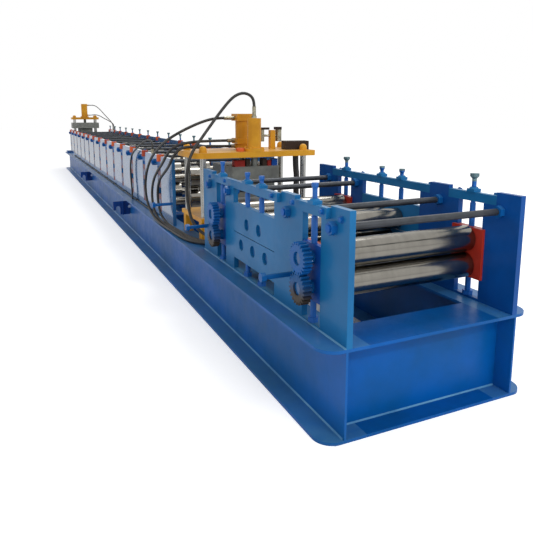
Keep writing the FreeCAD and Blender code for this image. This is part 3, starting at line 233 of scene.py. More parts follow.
def finished(thing, body, finish, places=((0, 0, 0),), smooth=30):
    """Closes the mesh, sets a copy at each place, joins them and gives them body and finish."""
    bpy.ops.object.mode_set(mode="OBJECT")
    name = thing.name
    thing.name = name + "_first"
    copies = []
    for place in places:
        copy = bpy.data.objects.new(name, thing.data.copy())
        copy.data.transform(Matrix.Translation(place))
        bpy.context.scene.collection.objects.link(copy)
        copies.append(copy)
    bpy.data.objects.remove(thing)
    bpy.ops.object.select_all(action="DESELECT")
    for copy in copies:
        copy.select_set(True)
    bpy.context.view_layer.objects.active = copies[0]
    if len(copies) > 1:
        bpy.ops.object.join()
    bpy.ops.object.shade_smooth_by_angle(angle=math.radians(smooth))
    whole = bpy.context.object
    whole.name = name
    whole.data.materials.clear()
    whole.data.materials.append(finish)
    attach(whole, body)
    bpy.ops.object.select_all(action="DESELECT")


for side, out in (("left", -1), ("right", 1)):
    tipped = (0, out * math.pi / 2, 0)
    bpy.ops.mesh.primitive_cylinder_add(vertices=24, radius=WASHER_RADIUS, depth=WASHER,
                                        location=(out * WASHER / 2, 0, 0), rotation=tipped)
    bolt = ready("bar_bolts_" + side)
    pick(bolt, lambda place, way: way.x * out > 0.9)
    bpy.ops.mesh.bevel(offset=WASHER_EDGE, segments=1, affect="EDGES")
    head_middle = WASHER + BOLT_HEIGHT / 2
    bpy.ops.mesh.primitive_cylinder_add(vertices=6, radius=BOLT_RADIUS, depth=BOLT_HEIGHT,
                                        location=(out * head_middle, 0, 0), rotation=tipped)
    pick(bolt, lambda place, way: way.x * out > 0.9 and place.x * out > head_middle)
    bpy.ops.mesh.inset(thickness=BOLT_CHAMFER, depth=BOLT_DOME)
    bpy.ops.mesh.inset(thickness=STAMP_RIM, depth=-STAMP_DEPTH)
    finished(bolt, MACHINE, BLUE_ENAMEL,
             [(out * face, ENTRY_END + y, z) for face, y, z in BOLT_PLACES])


# Bearing blocks of the pinch rolls, milled from steel and sprayed with a dull red enamel. Their
# left faces are painted a dark blue, which is painted shade beside the gears.
BLOCK_FACE = -0.43
BLOCK_SHADE = "#0a479a"


def paint_and_shade_over(material, paint_and_shade, axis, level, blur=0.004):
    """A colour laid over one end of a piece, as far as a level on one axis, with an edge as soft
    as a spray gun leaves: paint that went over, grease, and on the bearing blocks painted shade."""
    shader = material.node_tree.nodes["Principled BSDF"]
    bare = shader.inputs["Base Color"].links[0].from_node
    place = add(material, "ShaderNodeTexCoord")
    along = add(material, "ShaderNodeSeparateXYZ", [("Vector", place, "Object")])
    covered = add(material, "ShaderNodeMapRange", [("Value", along, axis)],
                  from_min=level, from_max=level - blur)
    base = add(material, "ShaderNodeMixRGB", [("Fac", covered, 0), ("Color1", bare, 0)],
               color2=colour(paint_and_shade))
    metal = add(material, "ShaderNodeMapRange", [("Value", covered, 0)],
                to_min=shader.inputs["Metallic"].default_value, to_max=0.0)
    cover(material, base_color=base, metallic=metal)
    return material


# The dark blue laid over the bearing blocks' left faces is painted shade.
RED_ENAMEL = paint_and_shade_over(
    enamel("red enamel", "#c23320", "#8e1f16", "#8a7f7a", gloss=(0.3, 0.5)),
    BLOCK_SHADE, "X", BLOCK_FACE)
dress(RED_ENAMEL, "pinch_bearing_blocks")


# Rolls and shafts: steel turned on a lathe and ground, so that bright and dull rings follow
# each other along them, under thin stains of oil. The left journals carry blue paint.
JOURNAL_END = -0.44
JOURNAL_PAINT = "#05508a"
# Size of the oil stains in millimetres
STAIN = 90.91


def steel(name, bright, darker, grain, gloss=(0.2, 0.45), groove=0.15, metallic=0.9):
    """Turned, brushed or rolled steel, banded by its grain, whose size along each axis is
    in millimetres, and duller where it is oily."""
    material = blank(name, metallic=metallic)
    place = add(material, "ShaderNodeTexCoord")
    stretched = add(material, "ShaderNodeMapping", [("Vector", place, "Object")],
                    scale=[1000 / size for size in grain])
    lines = add(material, "ShaderNodeTexNoise", [("Vector", stretched, 0)],
                scale=1.0, detail=4.0, roughness=0.6)
    bands = add(material, "ShaderNodeMapRange", [("Value", lines, 0)],
                from_min=0.3, from_max=0.66)
    base = add(material, "ShaderNodeMixRGB", [("Fac", bands, 0)],
               color1=colour(darker), color2=colour(bright))
    stains = add(material, "ShaderNodeTexNoise", [("Vector", place, "Object")],
                 scale=1000 / STAIN, detail=8.0, roughness=0.7)
    oil = add(material, "ShaderNodeMapRange", [("Value", stains, 0)],
              from_min=0.52, from_max=0.78, to_max=0.6)
    oily = add(material, "ShaderNodeMixRGB", [("Fac", oil, 0), ("Color1", base, 0)],
               color2=colour(darker))
    dull = add(material, "ShaderNodeMapRange", [("Value", stains, 0)],
               from_min=0.3, from_max=0.7, to_min=gloss[0], to_max=gloss[1])
    bump = add(material, "ShaderNodeBump", [("Height", lines, 0)], strength=groove,
               distance=0.0006)
    cover(material, base_color=oily, roughness=dull, normal=bump)
    return material


ROLL_STEEL = paint_and_shade_over(
    steel("turned roll steel", "#8f8c85", "#827f78", (40, 333.3, 333.3), gloss=(0.14, 0.26),
          groove=0.0, metallic=1.0),
    JOURNAL_PAINT, "X", JOURNAL_END)
dress(ROLL_STEEL, "pinch_roll_front_lower", "pinch_roll_front_upper", "pinch_roll_rear_lower",
      "pinch_roll_rear_upper", "levelling_roll_1", "levelling_roll_2", "levelling_roll_3",
      "levelling_roll_4", "levelling_roll_5", "forming_shafts", "forming_rolls")


# Gears on the left journals, milled from steel and painted blue, behind two guard posts. The
# lower ones run in black grease up to the height where they mesh.
MESH_LEVEL = 0.60
GREASE = "#3a322b"
GREASED_ENAMEL = paint_and_shade_over(
    enamel("greased gear enamel", "#0a5799", "#123a60", "#4d6a78", grime=0.7),
    GREASE, "Z", MESH_LEVEL, blur=0.06)
dress(GREASED_ENAMEL, "pinch_gear_front_lower", "pinch_gear_rear_lower")
dress(BLUE_ENAMEL, "pinch_gear_front_upper", "pinch_gear_rear_upper", "gear_guard_posts")


# Adjusting screws of the entry stand and of the forming stations, cut with a coarse thread.
# They were sprayed blue where they stand, and only the heads on the right are bare zinc.
HEAD_LEVEL = 0.985
# Pitch of the thread and size of the stains in millimetres, and the pitch at a scale of 1
THREAD = 3.696
ZINC_STAIN = 33.33
PLAIN_PITCH = 100 * math.pi


def threaded(name, bare, darker):
    """Zinc plated screws, dull grey green, with the turns of a thread round them."""
    material = blank(name, metallic=0.4, roughness=0.38)
    place = add(material, "ShaderNodeTexCoord")
    turns = add(material, "ShaderNodeTexWave", [("Vector", place, "Object")],
                scale=PLAIN_PITCH / THREAD, distortion=0.3, bands_direction="Z")
    stains = add(material, "ShaderNodeTexNoise", [("Vector", place, "Object")],
                 scale=1000 / ZINC_STAIN, detail=6.0)
    worn = add(material, "ShaderNodeMapRange", [("Value", stains, 0)],
               from_min=0.35, from_max=0.65)
    zinc = add(material, "ShaderNodeMixRGB", [("Fac", worn, 0)],
               color1=colour(darker), color2=colour(bare))
    bump = add(material, "ShaderNodeBump", [("Height", turns, 0)], strength=0.35,
               distance=0.0015)
    cover(material, base_color=zinc, normal=bump)
    return material


ZINC_SCREWS = paint_and_shade_over(
    paint_and_shade_over(threaded("screws with bare zinc heads", "#68868c", "#47636c"),
                 BLUE, "Z", HEAD_LEVEL, blur=0.006),
    BLUE, "X", 0.0, blur=0.01)
dress(ZINC_SCREWS, "adjusting_screws", "forming_screws")


# Tie rods across the machine: bars with a black rolled skin, held by nuts outside the plates.
# The spray gun caught their ends and the nuts.
BAR_END = 0.44
BLACK_BARS = paint_and_shade_over(
    paint_and_shade_over(
        steel("blackened bar steel", "#4a4d52", "#393c40", (71.43, 33.33, 33.33),
              gloss=(0.35, 0.55), groove=0.05, metallic=0.7),
        BLUE, "X", -BAR_END),
    BLUE, "X", BAR_END, blur=-0.004)
dress(BLACK_BARS, "tie_rods")
dress(BLUE_ENAMEL, "tie_rod_nuts")
round_edges(0.0015, "tie_rod_nuts")


# Punching unit: a yellow press with a head plate on four chromed columns. Its platen and die
# are milled tool steel, left bare, and its valves and adaptors are yellow zinc plated.
YELLOW_ENAMEL = enamel("yellow enamel", "#dea028", "#b87a14", "#a39a82", grime=0.45)
BRIGHT_STEEL = steel("chromed column steel", "#b9b9b6", "#a3a39f", (33.33, 33.33, 166.7),
                     gloss=(0.16, 0.3), groove=0.02)
TOOL_STEEL = steel("milled tool steel", "#83857f", "#6a6c68", (83.33, 83.33, 83.33),
                   gloss=(0.35, 0.55), groove=0.05, metallic=0.6)
ZINC_FITTINGS = steel("yellow zinc fitting steel", "#b5b09b", "#6f6a58",
                      (16.67, 16.67, 16.67), gloss=(0.2, 0.4))
BROWN_PLASTIC = enamel("dark brown plastic", "#33261f", "#1d1613", "#6a625c", gloss=(0.4, 0.6))
dress(YELLOW_ENAMEL, "punch_bed", "column_caps", "punch_head_plate", "punch_cylinders")
dress(BRIGHT_STEEL, "punch_columns")
dress(TOOL_STEEL, "punch_platen", "punch_die")
dress(ZINC_FITTINGS, "punch_valves")
dress(BROWN_PLASTIC, "junction_box")
round_edges(0.003, "punch_head_plate")
round_edges(0.002, "punch_platen", "punch_bed", "punch_cylinders")
round_edges(0.006, "junction_box")


# Cap screws that hold the front cylinder's round foot to the head plate. They are turned from
# steel, have a socket in each head, and were sprayed yellow with the cylinder.
SCREW_RADIUS = 0.0095
SCREW_HEIGHT = 0.010
SCREW_EDGE = 0.0012
SOCKET_WALL, SOCKET_DEPTH = 0.0035, 0.005
SCREW_REACH = 0.046
FOOT_X, FOOT_Y, FOOT_TOP = 0.015, ENTRY_END + 2.010, 1.057
bpy.ops.mesh.primitive_cylinder_add(vertices=18, radius=SCREW_RADIUS, depth=SCREW_HEIGHT,
                                    location=(0, 0, SCREW_HEIGHT / 2))
screw = ready("cylinder_screws")
pick(screw, facing_up)
bpy.ops.mesh.bevel(offset=SCREW_EDGE, segments=2, affect="EDGES")
pick(screw, facing_up)
bpy.ops.mesh.inset(thickness=SOCKET_WALL, depth=-SOCKET_DEPTH)
finished(screw, MACHINE, YELLOW_ENAMEL, [
    (FOOT_X + SCREW_REACH * across, FOOT_Y + SCREW_REACH * along, FOOT_TOP)
    for across in (-1, 1) for along in (-1, 1)])


# Collar of the port beside the front cylinder, turned from steel, with a bore and a coat of
# orange enamel. It stands on the head plate.
COLLAR_RADIUS = 0.030
COLLAR_HEIGHT = 0.026
COLLAR_WALL = 0.010
COLLAR_EDGE = 0.0014
BORE_DEPTH = 0.012
HEAD_TOP = 1.035
COLLAR_PLACE = (-0.094, ENTRY_END + 2.015, HEAD_TOP + COLLAR_HEIGHT / 2)
ORANGE_ENAMEL = enamel("orange red enamel", "#d8622f", "#8f2a1c", "#c9b8ac",
                       gloss=(0.3, 0.5), grime=0.6)
bpy.ops.mesh.primitive_cylinder_add(vertices=28, radius=COLLAR_RADIUS, depth=COLLAR_HEIGHT,
                                    location=COLLAR_PLACE)
collar = ready("port_collar")
pick(collar, facing_up)
bpy.ops.mesh.inset(thickness=COLLAR_WALL, depth=0)
bpy.ops.mesh.extrude_region_move(TRANSFORM_OT_translate={"value": (0, 0, -BORE_DEPTH)})
bpy.ops.mesh.select_all(action="SELECT")
bpy.ops.mesh.bevel(offset=COLLAR_EDGE, segments=2, affect="EDGES")
finished(collar, MACHINE, ORANGE_ENAMEL)


# Blocks of the punch holder, bolted on top of the platen, and the coils over the two valve
# bodies. The blocks are milled steel in paint, the red ones painted a darker red as painted
# shade, and the coils are moulded plastic.
# A red darkened to stand for shade: painted shade on the red holder blocks.
SHADED_RED_ENAMEL = enamel("red enamel darkened as painted shade", "#8a231c", "#43150f", "#5e4a46",
                         gloss=(0.35, 0.55))
BLOCK_Y = (ENTRY_END + 1.982, ENTRY_END + 2.038)
PLATEN_TOP = 0.926
COIL_FOOT = 1.184
COIL_RIM = 0.006
BLOCK_EDGE = 0.0012
# Each block's left side, right side, top and rim, and each coil's sides and top
HOLDER = (
    ("holder_block_red", "red_enamel", SHADED_RED_ENAMEL, -0.150, -0.070, 0.972, 0.006),
    ("holder_block_black", "dark_enamel", BROWN_PLASTIC, -0.060, -0.028, 0.980, 0.004),
    ("holder_block_dark", "dark_enamel", BROWN_PLASTIC, 0.070, 0.104, 0.982, 0.004),
    ("holder_block_bright", "red_enamel", SHADED_RED_ENAMEL, 0.110, 0.140, 0.966, 0.005),
    ("holder_block_blue", "deep_blue_enamel", DEEP_ENAMEL, 0.146, 0.192, 0.978, 0.006),
)
COILS = (
    ("valve_coil_left", (0.165, 0.233), (ENTRY_END + 2.214, ENTRY_END + 2.248), 1.202),
    ("valve_coil_right", (0.286, 0.338), (ENTRY_END + 2.210, ENTRY_END + 2.252), 1.206),
)


def rimmed_block(name, across, along, upright, rim):
    """A block with its top sunk inside a sloping rim, and a shallow panel in its front."""
    sides = (across, along, upright)
    bpy.ops.mesh.primitive_cube_add(size=1, location=[(low + high) / 2 for low, high in sides],
                                    scale=[high - low for low, high in sides])
    block = ready(name)
    pick(block, facing_up)
    bpy.ops.mesh.inset(thickness=rim, depth=0)
    bpy.ops.transform.translate(value=(0, 0, -rim / 2))
    pick(block, lambda place, way: way.y < -0.9)
    bpy.ops.mesh.inset(thickness=rim, depth=-rim / 3)
    bpy.ops.mesh.select_all(action="SELECT")
    bpy.ops.mesh.bevel(offset=BLOCK_EDGE, segments=2, affect="EDGES")
    return block


for name, slot, finish, left, right, top, rim in HOLDER:
    block = rimmed_block(name, (left, right), BLOCK_Y, (PLATEN_TOP, top), rim)
    finished(block, "platen", finish)
for name, across, along, top in COILS:
    coil = rimmed_block(name, across, along, (COIL_FOOT, top), COIL_RIM)
    finished(coil, MACHINE, BROWN_PLASTIC)


# Forming line: two long side plates with a fresh glossy coat, which mirrors the pale hall at a
# flat angle. The bearings in their slots are patched dark red and dark navy, and the nuts on
# the screws are orange red.
GLOSSY_ENAMEL = enamel("glossy blue enamel", "#1a6cab", "#125a96", "#8fa6b4",
                       gloss=(0.15, 0.3), coat=1.0)
BEARING_ENAMEL = enamel("station block enamel", "#8a2f2b", "#1b2b49", "#6d5a5c", coat=0.1)
dress(GLOSSY_ENAMEL, "forming_side_plate_left", "forming_side_plate_right")
dress(BEARING_ENAMEL, "forming_bearings")
dress(BLUE_ENAMEL, "forming_slot_caps")
dress(ORANGE_ENAMEL, "station_nuts")
round_edges(0.0015, "forming_side_plate_left", "forming_side_plate_right")


# Weld beads along the feet of the side plates, in the seams between the beams' webs and their
# lower flanges, and at the foot of each end web. Each is a thin run of weld metal with a wavy
# slope. Its light blue is worn paint together with a painted highlight along the crest.
BEAD = 0.0055
BEAD_CREST = 0.55
# Height of each wave along a bead, and its turns in radians per metre
BEAD_WAVES = ((0.0012, 61), (0.0008, 23))
BEAD_CUTS = 60
FLANGE = 0.014
FLANGE_TOP = 0.4
END_SETBACK = 0.096
ALONG_X, ALONG_Y = 0, 1
ENTRY_FEET = (ENTRY_END, ENTRY_END + 1.764)
FORMING_FEET = (ENTRY_END + 2.6, ENTRY_END + 12.1)
WHOLE_BEAM = (ENTRY_END + 0.01, EXIT_END - 0.01)
BETWEEN_WEBS = (-0.445, 0.445)
# Each bead's direction, its two ends, the wall that it leans on, its side and its foot
BEADS = (
    ("entry_foot_bead_left", ALONG_Y, ENTRY_FEET, -PLATE_FACE, -1, FLANGE_TOP),
    ("entry_foot_bead_right", ALONG_Y, ENTRY_FEET, PLATE_FACE, 1, FLANGE_TOP),
    ("forming_foot_bead_left", ALONG_Y, FORMING_FEET, -PLATE_FACE, -1, FLANGE_TOP),
    ("forming_foot_bead_right", ALONG_Y, FORMING_FEET, PLATE_FACE, 1, FLANGE_TOP),
    ("lower_seam_bead_left", ALONG_Y, WHOLE_BEAM, -PLATE_FACE, -1, FLANGE),
    ("lower_seam_bead_right", ALONG_Y, WHOLE_BEAM, PLATE_FACE, 1, FLANGE),
    ("entry_web_bead", ALONG_X, BETWEEN_WEBS, ENTRY_END + END_SETBACK, -1, FLANGE),
    ("exit_web_bead", ALONG_X, BETWEEN_WEBS, EXIT_END - END_SETBACK, 1, FLANGE),
)
# A light blue for worn paint and for a painted highlight on the beads.
WORN_AND_HIGHLIT_ENAMEL = enamel("weld bead worn and highlit", "#5f98be", "#22659a", "#8fb0c0", grime=0.6)
for name, run, (start, end), wall, out, foot in BEADS:
    away = 1 - run
    centre = [0, 0, foot + BEAD / 2]
    centre[run] = (start + end) / 2
    centre[away] = wall + out * BEAD / 2
    size = [BEAD, BEAD, BEAD]
    size[run] = end - start
    bpy.ops.mesh.primitive_cube_add(size=1, location=centre, scale=size)
    bead = ready(name)
    bpy.ops.mesh.select_mode(type="EDGE")
    bpy.ops.object.mode_set(mode="OBJECT")
    corners = bead.data.vertices
    for edge in bead.data.edges:
        first, second = (corners[k].co for k in edge.vertices)
        edge.select = abs(first[run] - second[run]) > BEAD * 2
    bpy.ops.object.mode_set(mode="EDIT")
    bpy.ops.mesh.subdivide(number_cuts=BEAD_CUTS)
    bpy.ops.object.mode_set(mode="OBJECT")
    for corner in corners:
        outer = (corner.co[away] - wall) * out > BEAD / 2
        if outer and corner.co.z > foot + BEAD / 2:
            wave = sum(height * math.sin(corner.co[run] * pace) for height, pace in BEAD_WAVES)
            corner.co[away] = wall + out * (BEAD * BEAD_CREST + wave)
            corner.co.z = foot + BEAD * BEAD_CREST + wave
    bpy.ops.object.mode_set(mode="EDIT")
    finished(bead, MACHINE, WORN_AND_HIGHLIT_ENAMEL, smooth=60)


# Conduit for cables, in the corner between the left forming plate and the flange: a black
# rubber pipe with bevelled ends, held down by small moulded clips.
CONDUIT = 0.0065
CONDUIT_CHAMFER = 0.0015
CONDUIT_START, CONDUIT_END = ENTRY_END + 3.1, ENTRY_END + 11.1
CONDUIT_X = -PLATE_FACE - BEAD - CONDUIT
CLIP = (0.018, 0.012, 0.017)
CLIP_RIM, CLIP_CROWN = 0.003, 0.0015
FIRST_CLIP = ENTRY_END + 3.3
CLIP_STEP = 0.76
CLIPS = 11
# Sizes in millimetres of the dust on the rubber and of the cloth that is wound under it
HOSE_DUST = 71.43
HOSE_WRAP = 2.381


def rubber(name, clean, dusty):
    """Hose rubber, nearly black and dull where it is dusty. The cloth of a real hose is
    finer, and is drawn as coarse as it needs to show."""
    material = blank(name, specular=0.4)
    place = add(material, "ShaderNodeTexCoord")
    dust = add(material, "ShaderNodeTexNoise", [("Vector", place, "Object")],
               scale=1000 / HOSE_DUST, detail=8.0, roughness=0.7)
    lying = add(material, "ShaderNodeMapRange", [("Value", dust, 0)],
                from_min=0.42, from_max=0.8)
    base = add(material, "ShaderNodeMixRGB", [("Fac", lying, 0)],
               color1=colour(clean), color2=colour(dusty))
    dull = add(material, "ShaderNodeMapRange", [("Value", dust, 0)],
               from_min=0.3, from_max=0.7, to_min=0.38, to_max=0.6)
    wrap = add(material, "ShaderNodeTexNoise", [("Vector", place, "Object")],
               scale=1000 / HOSE_WRAP, detail=1.0)
    bump = add(material, "ShaderNodeBump", [("Height", wrap, 0)], strength=0.2,
               distance=0.0006)
    cover(material, base_color=base, roughness=dull, normal=bump)
    return material


HOSE_RUBBER = rubber("black hose rubber", "#1f1e1d", "#4a4845")
bpy.ops.mesh.primitive_cylinder_add(
    vertices=14, radius=CONDUIT, depth=CONDUIT_END - CONDUIT_START,
    location=(CONDUIT_X, (CONDUIT_START + CONDUIT_END) / 2, FLANGE_TOP + CONDUIT),
    rotation=(math.pi / 2, 0, 0))
conduit = ready("foot_conduit")
pick(conduit, lambda place, way: abs(way.y) > 0.9)
bpy.ops.mesh.inset(thickness=CONDUIT_CHAMFER, depth=CONDUIT_CHAMFER)
finished(conduit, MACHINE, HOSE_RUBBER, smooth=40)
bpy.ops.mesh.primitive_cube_add(size=1, location=(0, 0, CLIP[2] / 2), scale=CLIP)
clip = ready("conduit_clips")
pick(clip, facing_up)
bpy.ops.mesh.inset(thickness=CLIP_RIM, depth=0)
bpy.ops.transform.translate(value=(0, 0, CLIP_CROWN))
finished(clip, MACHINE, HOSE_RUBBER,
         [(CONDUIT_X, FIRST_CLIP + CLIP_STEP * k, FLANGE_TOP) for k in range(CLIPS)])


# Cutter at the exit end, built like the punching unit: a yellow head plate and cylinder on
# chromed columns, a blue bed, and a blade and die of milled tool steel.
dress(YELLOW_ENAMEL, "cutter_head_plate", "cutter_cylinder")
dress(BRIGHT_STEEL, "cutter_columns")
dress(TOOL_STEEL, "cutter_blade", "cutter_die")
dress(BLUE_ENAMEL, "cutter_bed")
round_edges(0.003, "cutter_head_plate")
round_edges(0.002, "cutter_cylinder")


# Hydraulic hoses, a cable duct and a cable, of black rubber over wound cloth. Each hangs or
# lies in one smooth line between its two fittings, which are yellow zinc plated. The hoses of
# the punching unit end in a blue manifold behind the left entry plate.
HOSE = 0.021
THIN_HOSE = 0.018
DUCT = 0.044
dress(BLUE_ENAMEL, "hose_manifold")
dress(ZINC_FITTINGS, "hose_fittings")
round_edges(0.002, "hose_manifold")


def hose(name, points, end, diameter):
    """One hose through its points, whose second number counts from one end of the base."""
    curve = bpy.data.curves.new(name, "CURVE")
    curve.dimensions = "3D"
    spline = curve.splines.new("NURBS")
    spline.points.add(len(points) - 1)
    for point, (x, y, z) in zip(spline.points, points):
        point.co = (x, y + end, z, 1)
    spline.order_u = 3
    spline.use_endpoint_u = True
    spline.resolution_u = 10
    curve.bevel_depth = diameter / 2
    curve.bevel_resolution = 6
    curve.use_fill_caps = True
    curve.materials.append(HOSE_RUBBER)
    line = bpy.data.objects.new(name + "_line", curve)
    bpy.context.scene.collection.objects.link(line)
    dress(HOSE_RUBBER, name)
    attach(line, MACHINE)
    x, y, z = points[0]
    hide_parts(name)


# From the front cylinder over the left side of the head plate and down to the manifold
hose("punch_hose_1", [
    (0.015, 2.010, 1.359), (0.015, 2.010, 1.400), (-0.014, 2.009, 1.441), (-0.074, 2.008, 1.457),
    (-0.144, 2.006, 1.430), (-0.212, 2.004, 1.362), (-0.300, 2.000, 1.256), (-0.395, 1.988, 1.138),
    (-0.486, 1.962, 1.030), (-0.520, 1.950, 0.905), (-0.522, 1.956, 0.770), (-0.514, 1.942, 0.650),
    (-0.494, 1.914, 0.550), (-0.447, 1.862, 0.490), (-0.400, 1.796, 0.464), (-0.400, 1.740, 0.464),
], ENTRY_END, HOSE)
# From the rear cylinder's three ports, in loops beside the forming line
hose("punch_hose_2", [
    (-0.132, 2.250, 1.275), (-0.200, 2.250, 1.275), (-0.300, 2.250, 1.250), (-0.400, 2.252, 1.210),
    (-0.500, 2.275, 1.158), (-0.550, 2.400, 1.102), (-0.565, 2.600, 1.032), (-0.567, 2.850, 0.944),
    (-0.567, 3.040, 0.815), (-0.567, 3.130, 0.665), (-0.566, 3.050, 0.520), (-0.560, 2.860, 0.440),
    (-0.545, 2.640, 0.414), (-0.533, 2.400, 0.413), (-0.529, 2.200, 0.414), (-0.517, 2.060, 0.413),
    (-0.490, 1.940, 0.414), (-0.432, 1.850, 0.417), (-0.400, 1.786, 0.426), (-0.400, 1.740, 0.426),
], ENTRY_END, HOSE)
hose("punch_hose_3", [
    (-0.107, 2.250, 1.105), (-0.170, 2.250, 1.105), (-0.265, 2.250, 1.104), (-0.365, 2.250, 1.101),
    (-0.455, 2.252, 1.090), (-0.530, 2.272, 1.062), (-0.550, 2.380, 1.000), (-0.542, 2.560, 0.915),
    (-0.540, 2.740, 0.845), (-0.540, 2.900, 0.755), (-0.540, 2.985, 0.640), (-0.540, 2.960, 0.520),
    (-0.537, 2.830, 0.440), (-0.520, 2.640, 0.414), (-0.507, 2.400, 0.413), (-0.503, 2.200, 0.414),
    (-0.490, 2.070, 0.413), (-0.462, 1.950, 0.414), (-0.404, 1.850, 0.417), (-0.372, 1.786, 0.426),
    (-0.372, 1.740, 0.426),
], ENTRY_END, HOSE)
hose("punch_hose_4", [
    (-0.078, 2.250, 1.062), (-0.150, 2.250, 1.062), (-0.240, 2.250, 1.065), (-0.340, 2.250, 1.064),
    (-0.425, 2.250, 1.062), (-0.480, 2.262, 1.052), (-0.524, 2.310, 0.985), (-0.520, 2.440, 0.905),
    (-0.513, 2.620, 0.838), (-0.513, 2.790, 0.770), (-0.513, 2.882, 0.670), (-0.513, 2.876, 0.560),
    (-0.512, 2.790, 0.460), (-0.497, 2.620, 0.414), (-0.481, 2.400, 0.413), (-0.477, 2.200, 0.414),
    (-0.466, 2.080, 0.413), (-0.434, 1.960, 0.414), (-0.376, 1.850, 0.417), (-0.344, 1.786, 0.426),
    (-0.344, 1.740, 0.426),
], ENTRY_END, HOSE)
# Cable duct beside the right front column
hose("punch_duct", [
    (0.352, 1.998, 0.995), (0.352, 1.998, 0.920), (0.365, 2.001, 0.830), (0.360, 2.004, 0.735),
    (0.366, 2.003, 0.645), (0.366, 2.003, 0.570),
], ENTRY_END, DUCT)
# From the cutter's ports to the right side plate
hose("cutter_hose_1", [
    (0.038, -0.275, 1.528), (0.080, -0.275, 1.528), (0.135, -0.310, 1.529), (0.190, -0.400, 1.500),
    (0.243, -0.520, 1.442), (0.292, -0.650, 1.364), (0.340, -0.790, 1.280), (0.392, -0.930, 1.202),
    (0.424, -1.050, 1.146), (0.438, -1.145, 1.099), (0.442, -1.182, 1.066), (0.443, -1.200, 1.027),
    (0.443, -1.200, 0.985),
], EXIT_END, THIN_HOSE)
hose("cutter_hose_2", [
    (0.038, -0.275, 1.290), (0.085, -0.275, 1.290), (0.145, -0.310, 1.301), (0.205, -0.420, 1.294),
    (0.262, -0.560, 1.264), (0.308, -0.710, 1.219), (0.350, -0.870, 1.188), (0.388, -1.040, 1.152),
    (0.422, -1.190, 1.118), (0.437, -1.284, 1.092), (0.442, -1.322, 1.062), (0.443, -1.340, 1.025),
    (0.443, -1.340, 0.985),
], EXIT_END, THIN_HOSE)
# Cable from the top of the left side plate down to the flange
hose("station_cable", [
    (-0.443, 3.330, 0.985), (-0.443, 3.330, 1.015), (-0.443, 3.346, 1.043), (-0.446, 3.378, 1.062),
    (-0.455, 3.430, 1.067), (-0.470, 3.520, 1.056), (-0.484, 3.660, 1.018), (-0.489, 3.830, 0.968),
    (-0.489, 4.010, 0.925), (-0.488, 4.160, 0.865), (-0.487, 4.235, 0.770), (-0.487, 4.245, 0.660),
    (-0.487, 4.215, 0.550), (-0.487, 4.193, 0.470), (-0.487, 4.193, 0.400),
], ENTRY_END, THIN_HOSE)


# Studio floor: matt and pale, so that the machine's shadow lies on it. It looks nearly white
# where nothing stands, and keeps its plain level between the beams, under the machine.
FLOOR_REACH = 80
FLOOR_LIFT = 0.42
UNDER_HALF_WIDTH = 0.5
bpy.ops.mesh.primitive_plane_add(size=FLOOR_REACH, location=(0, 0, 0))
floor = bpy.context.object
floor.name = "floor"
floor_finish = blank("pale studio floor", roughness=1.0, specular=0.0)
floor_sockets = floor_finish.node_tree.nodes["Principled BSDF"].inputs
floor_sockets["Base Color"].default_value = colour("#f2f2f2")
floor_sockets["Emission Color"].default_value = colour("#ffffff")
place = add(floor_finish, "ShaderNodeTexCoord")
shares = add(floor_finish, "ShaderNodeMapping", [("Vector", place, "Object")],
             scale=(1 / UNDER_HALF_WIDTH, 1 / EXIT_END, 0))
both_sides = add(floor_finish, "ShaderNodeVectorMath", [(0, shares, 0)], operation="ABSOLUTE")
parts = add(floor_finish, "ShaderNodeSeparateXYZ", [("Vector", both_sides, 0)])
farthest = add(floor_finish, "ShaderNodeMath", [(0, parts, "X"), (1, parts, "Y")],
               operation="MAXIMUM")
outside = add(floor_finish, "ShaderNodeMath", [(0, farthest, 0)], operation="GREATER_THAN")
outside.inputs[1].default_value = 1.0
watched = add(floor_finish, "ShaderNodeLightPath")
shown = add(floor_finish, "ShaderNodeMath", [(0, watched, "Is Camera Ray"), (1, outside, 0)],
            operation="MULTIPLY")
lifted = add(floor_finish, "ShaderNodeMapRange", [("Value", shown, 0)], to_max=FLOOR_LIFT)
cover(floor_finish, emission_strength=lifted)
floor.data.materials.append(floor_finish)


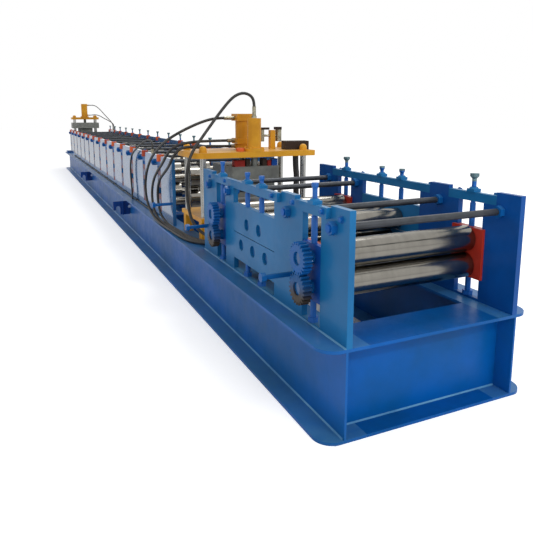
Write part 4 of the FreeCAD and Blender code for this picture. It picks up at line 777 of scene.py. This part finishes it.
# Camera at the photograph's place, left of the entry end and a little over the plates. The
# shift sets the horizon where the photograph has it.
CAMERA_PLACE = (-1.554, -7.9685, 1.2996)
CAMERA_YAW = math.radians(24.395)
CAMERA_PITCH = math.radians(9.577)
CAMERA_LENS = 36.49
CAMERA_SHIFT = (0.0, -0.1137)
CAMERA_REACH = 60
camera_data = bpy.data.cameras.new("Camera")
camera_data.lens = CAMERA_LENS
camera_data.shift_x, camera_data.shift_y = CAMERA_SHIFT
camera_data.clip_end = CAMERA_REACH
camera = bpy.data.objects.new("Camera", camera_data)
camera.location = CAMERA_PLACE
camera.rotation_euler = (math.pi / 2 - CAMERA_PITCH, 0, -CAMERA_YAW)
bpy.context.scene.collection.objects.link(camera)
bpy.context.scene.camera = camera


# Light: an even white sky, which looks and mirrors full white but lights the machine a little
# less, two square softboxes and one long strip light over the entry end
WORLD_STRENGTH = 0.72
# Each lamp's place, the spot it is aimed at, its width and height, and its watts
LAMPS = (
    ("front softbox", (1.0, -11.5, 5.0), (0.0, -5.0, 0.5), 3.0, 3.0, 120),
    ("high softbox", (3.0, -2.0, 8.0), (0.0, -2.0, 0.8), 3.0, 3.0, 240),
    ("strip light", (0.0, -9.6, 3.4), (0.0, -5.9, 0.7), 3.6, 0.12, 40),
)
world = bpy.data.worlds.new("Studio")
bpy.context.scene.world = world
world.use_nodes = True
background = world.node_tree.nodes["Background"].inputs
background["Color"].default_value = colour("#ffffff")
seen = add(world, "ShaderNodeLightPath")
seen_or_mirrored = add(world, "ShaderNodeMath",
                       [(0, seen, "Is Camera Ray"), (1, seen, "Is Glossy Ray")],
                       operation="MAXIMUM")
brightness = add(world, "ShaderNodeMapRange", [("Value", seen_or_mirrored, 0)],
                 to_min=WORLD_STRENGTH, to_max=1.0)
world.node_tree.links.new(brightness.outputs[0], background["Strength"])
for name, spot, aim, width, height, power in LAMPS:
    lamp_data = bpy.data.lights.new(name, "AREA")
    lamp_data.shape = "RECTANGLE"
    lamp_data.size = width
    lamp_data.size_y = height
    lamp_data.energy = power
    lamp = bpy.data.objects.new(name, lamp_data)
    lamp.location = spot
    lamp.rotation_euler = (Vector(aim) - Vector(spot)).to_track_quat("-Z", "Y").to_euler()
    bpy.context.scene.collection.objects.link(lamp)

bpy.context.scene.view_settings.view_transform = "Standard"
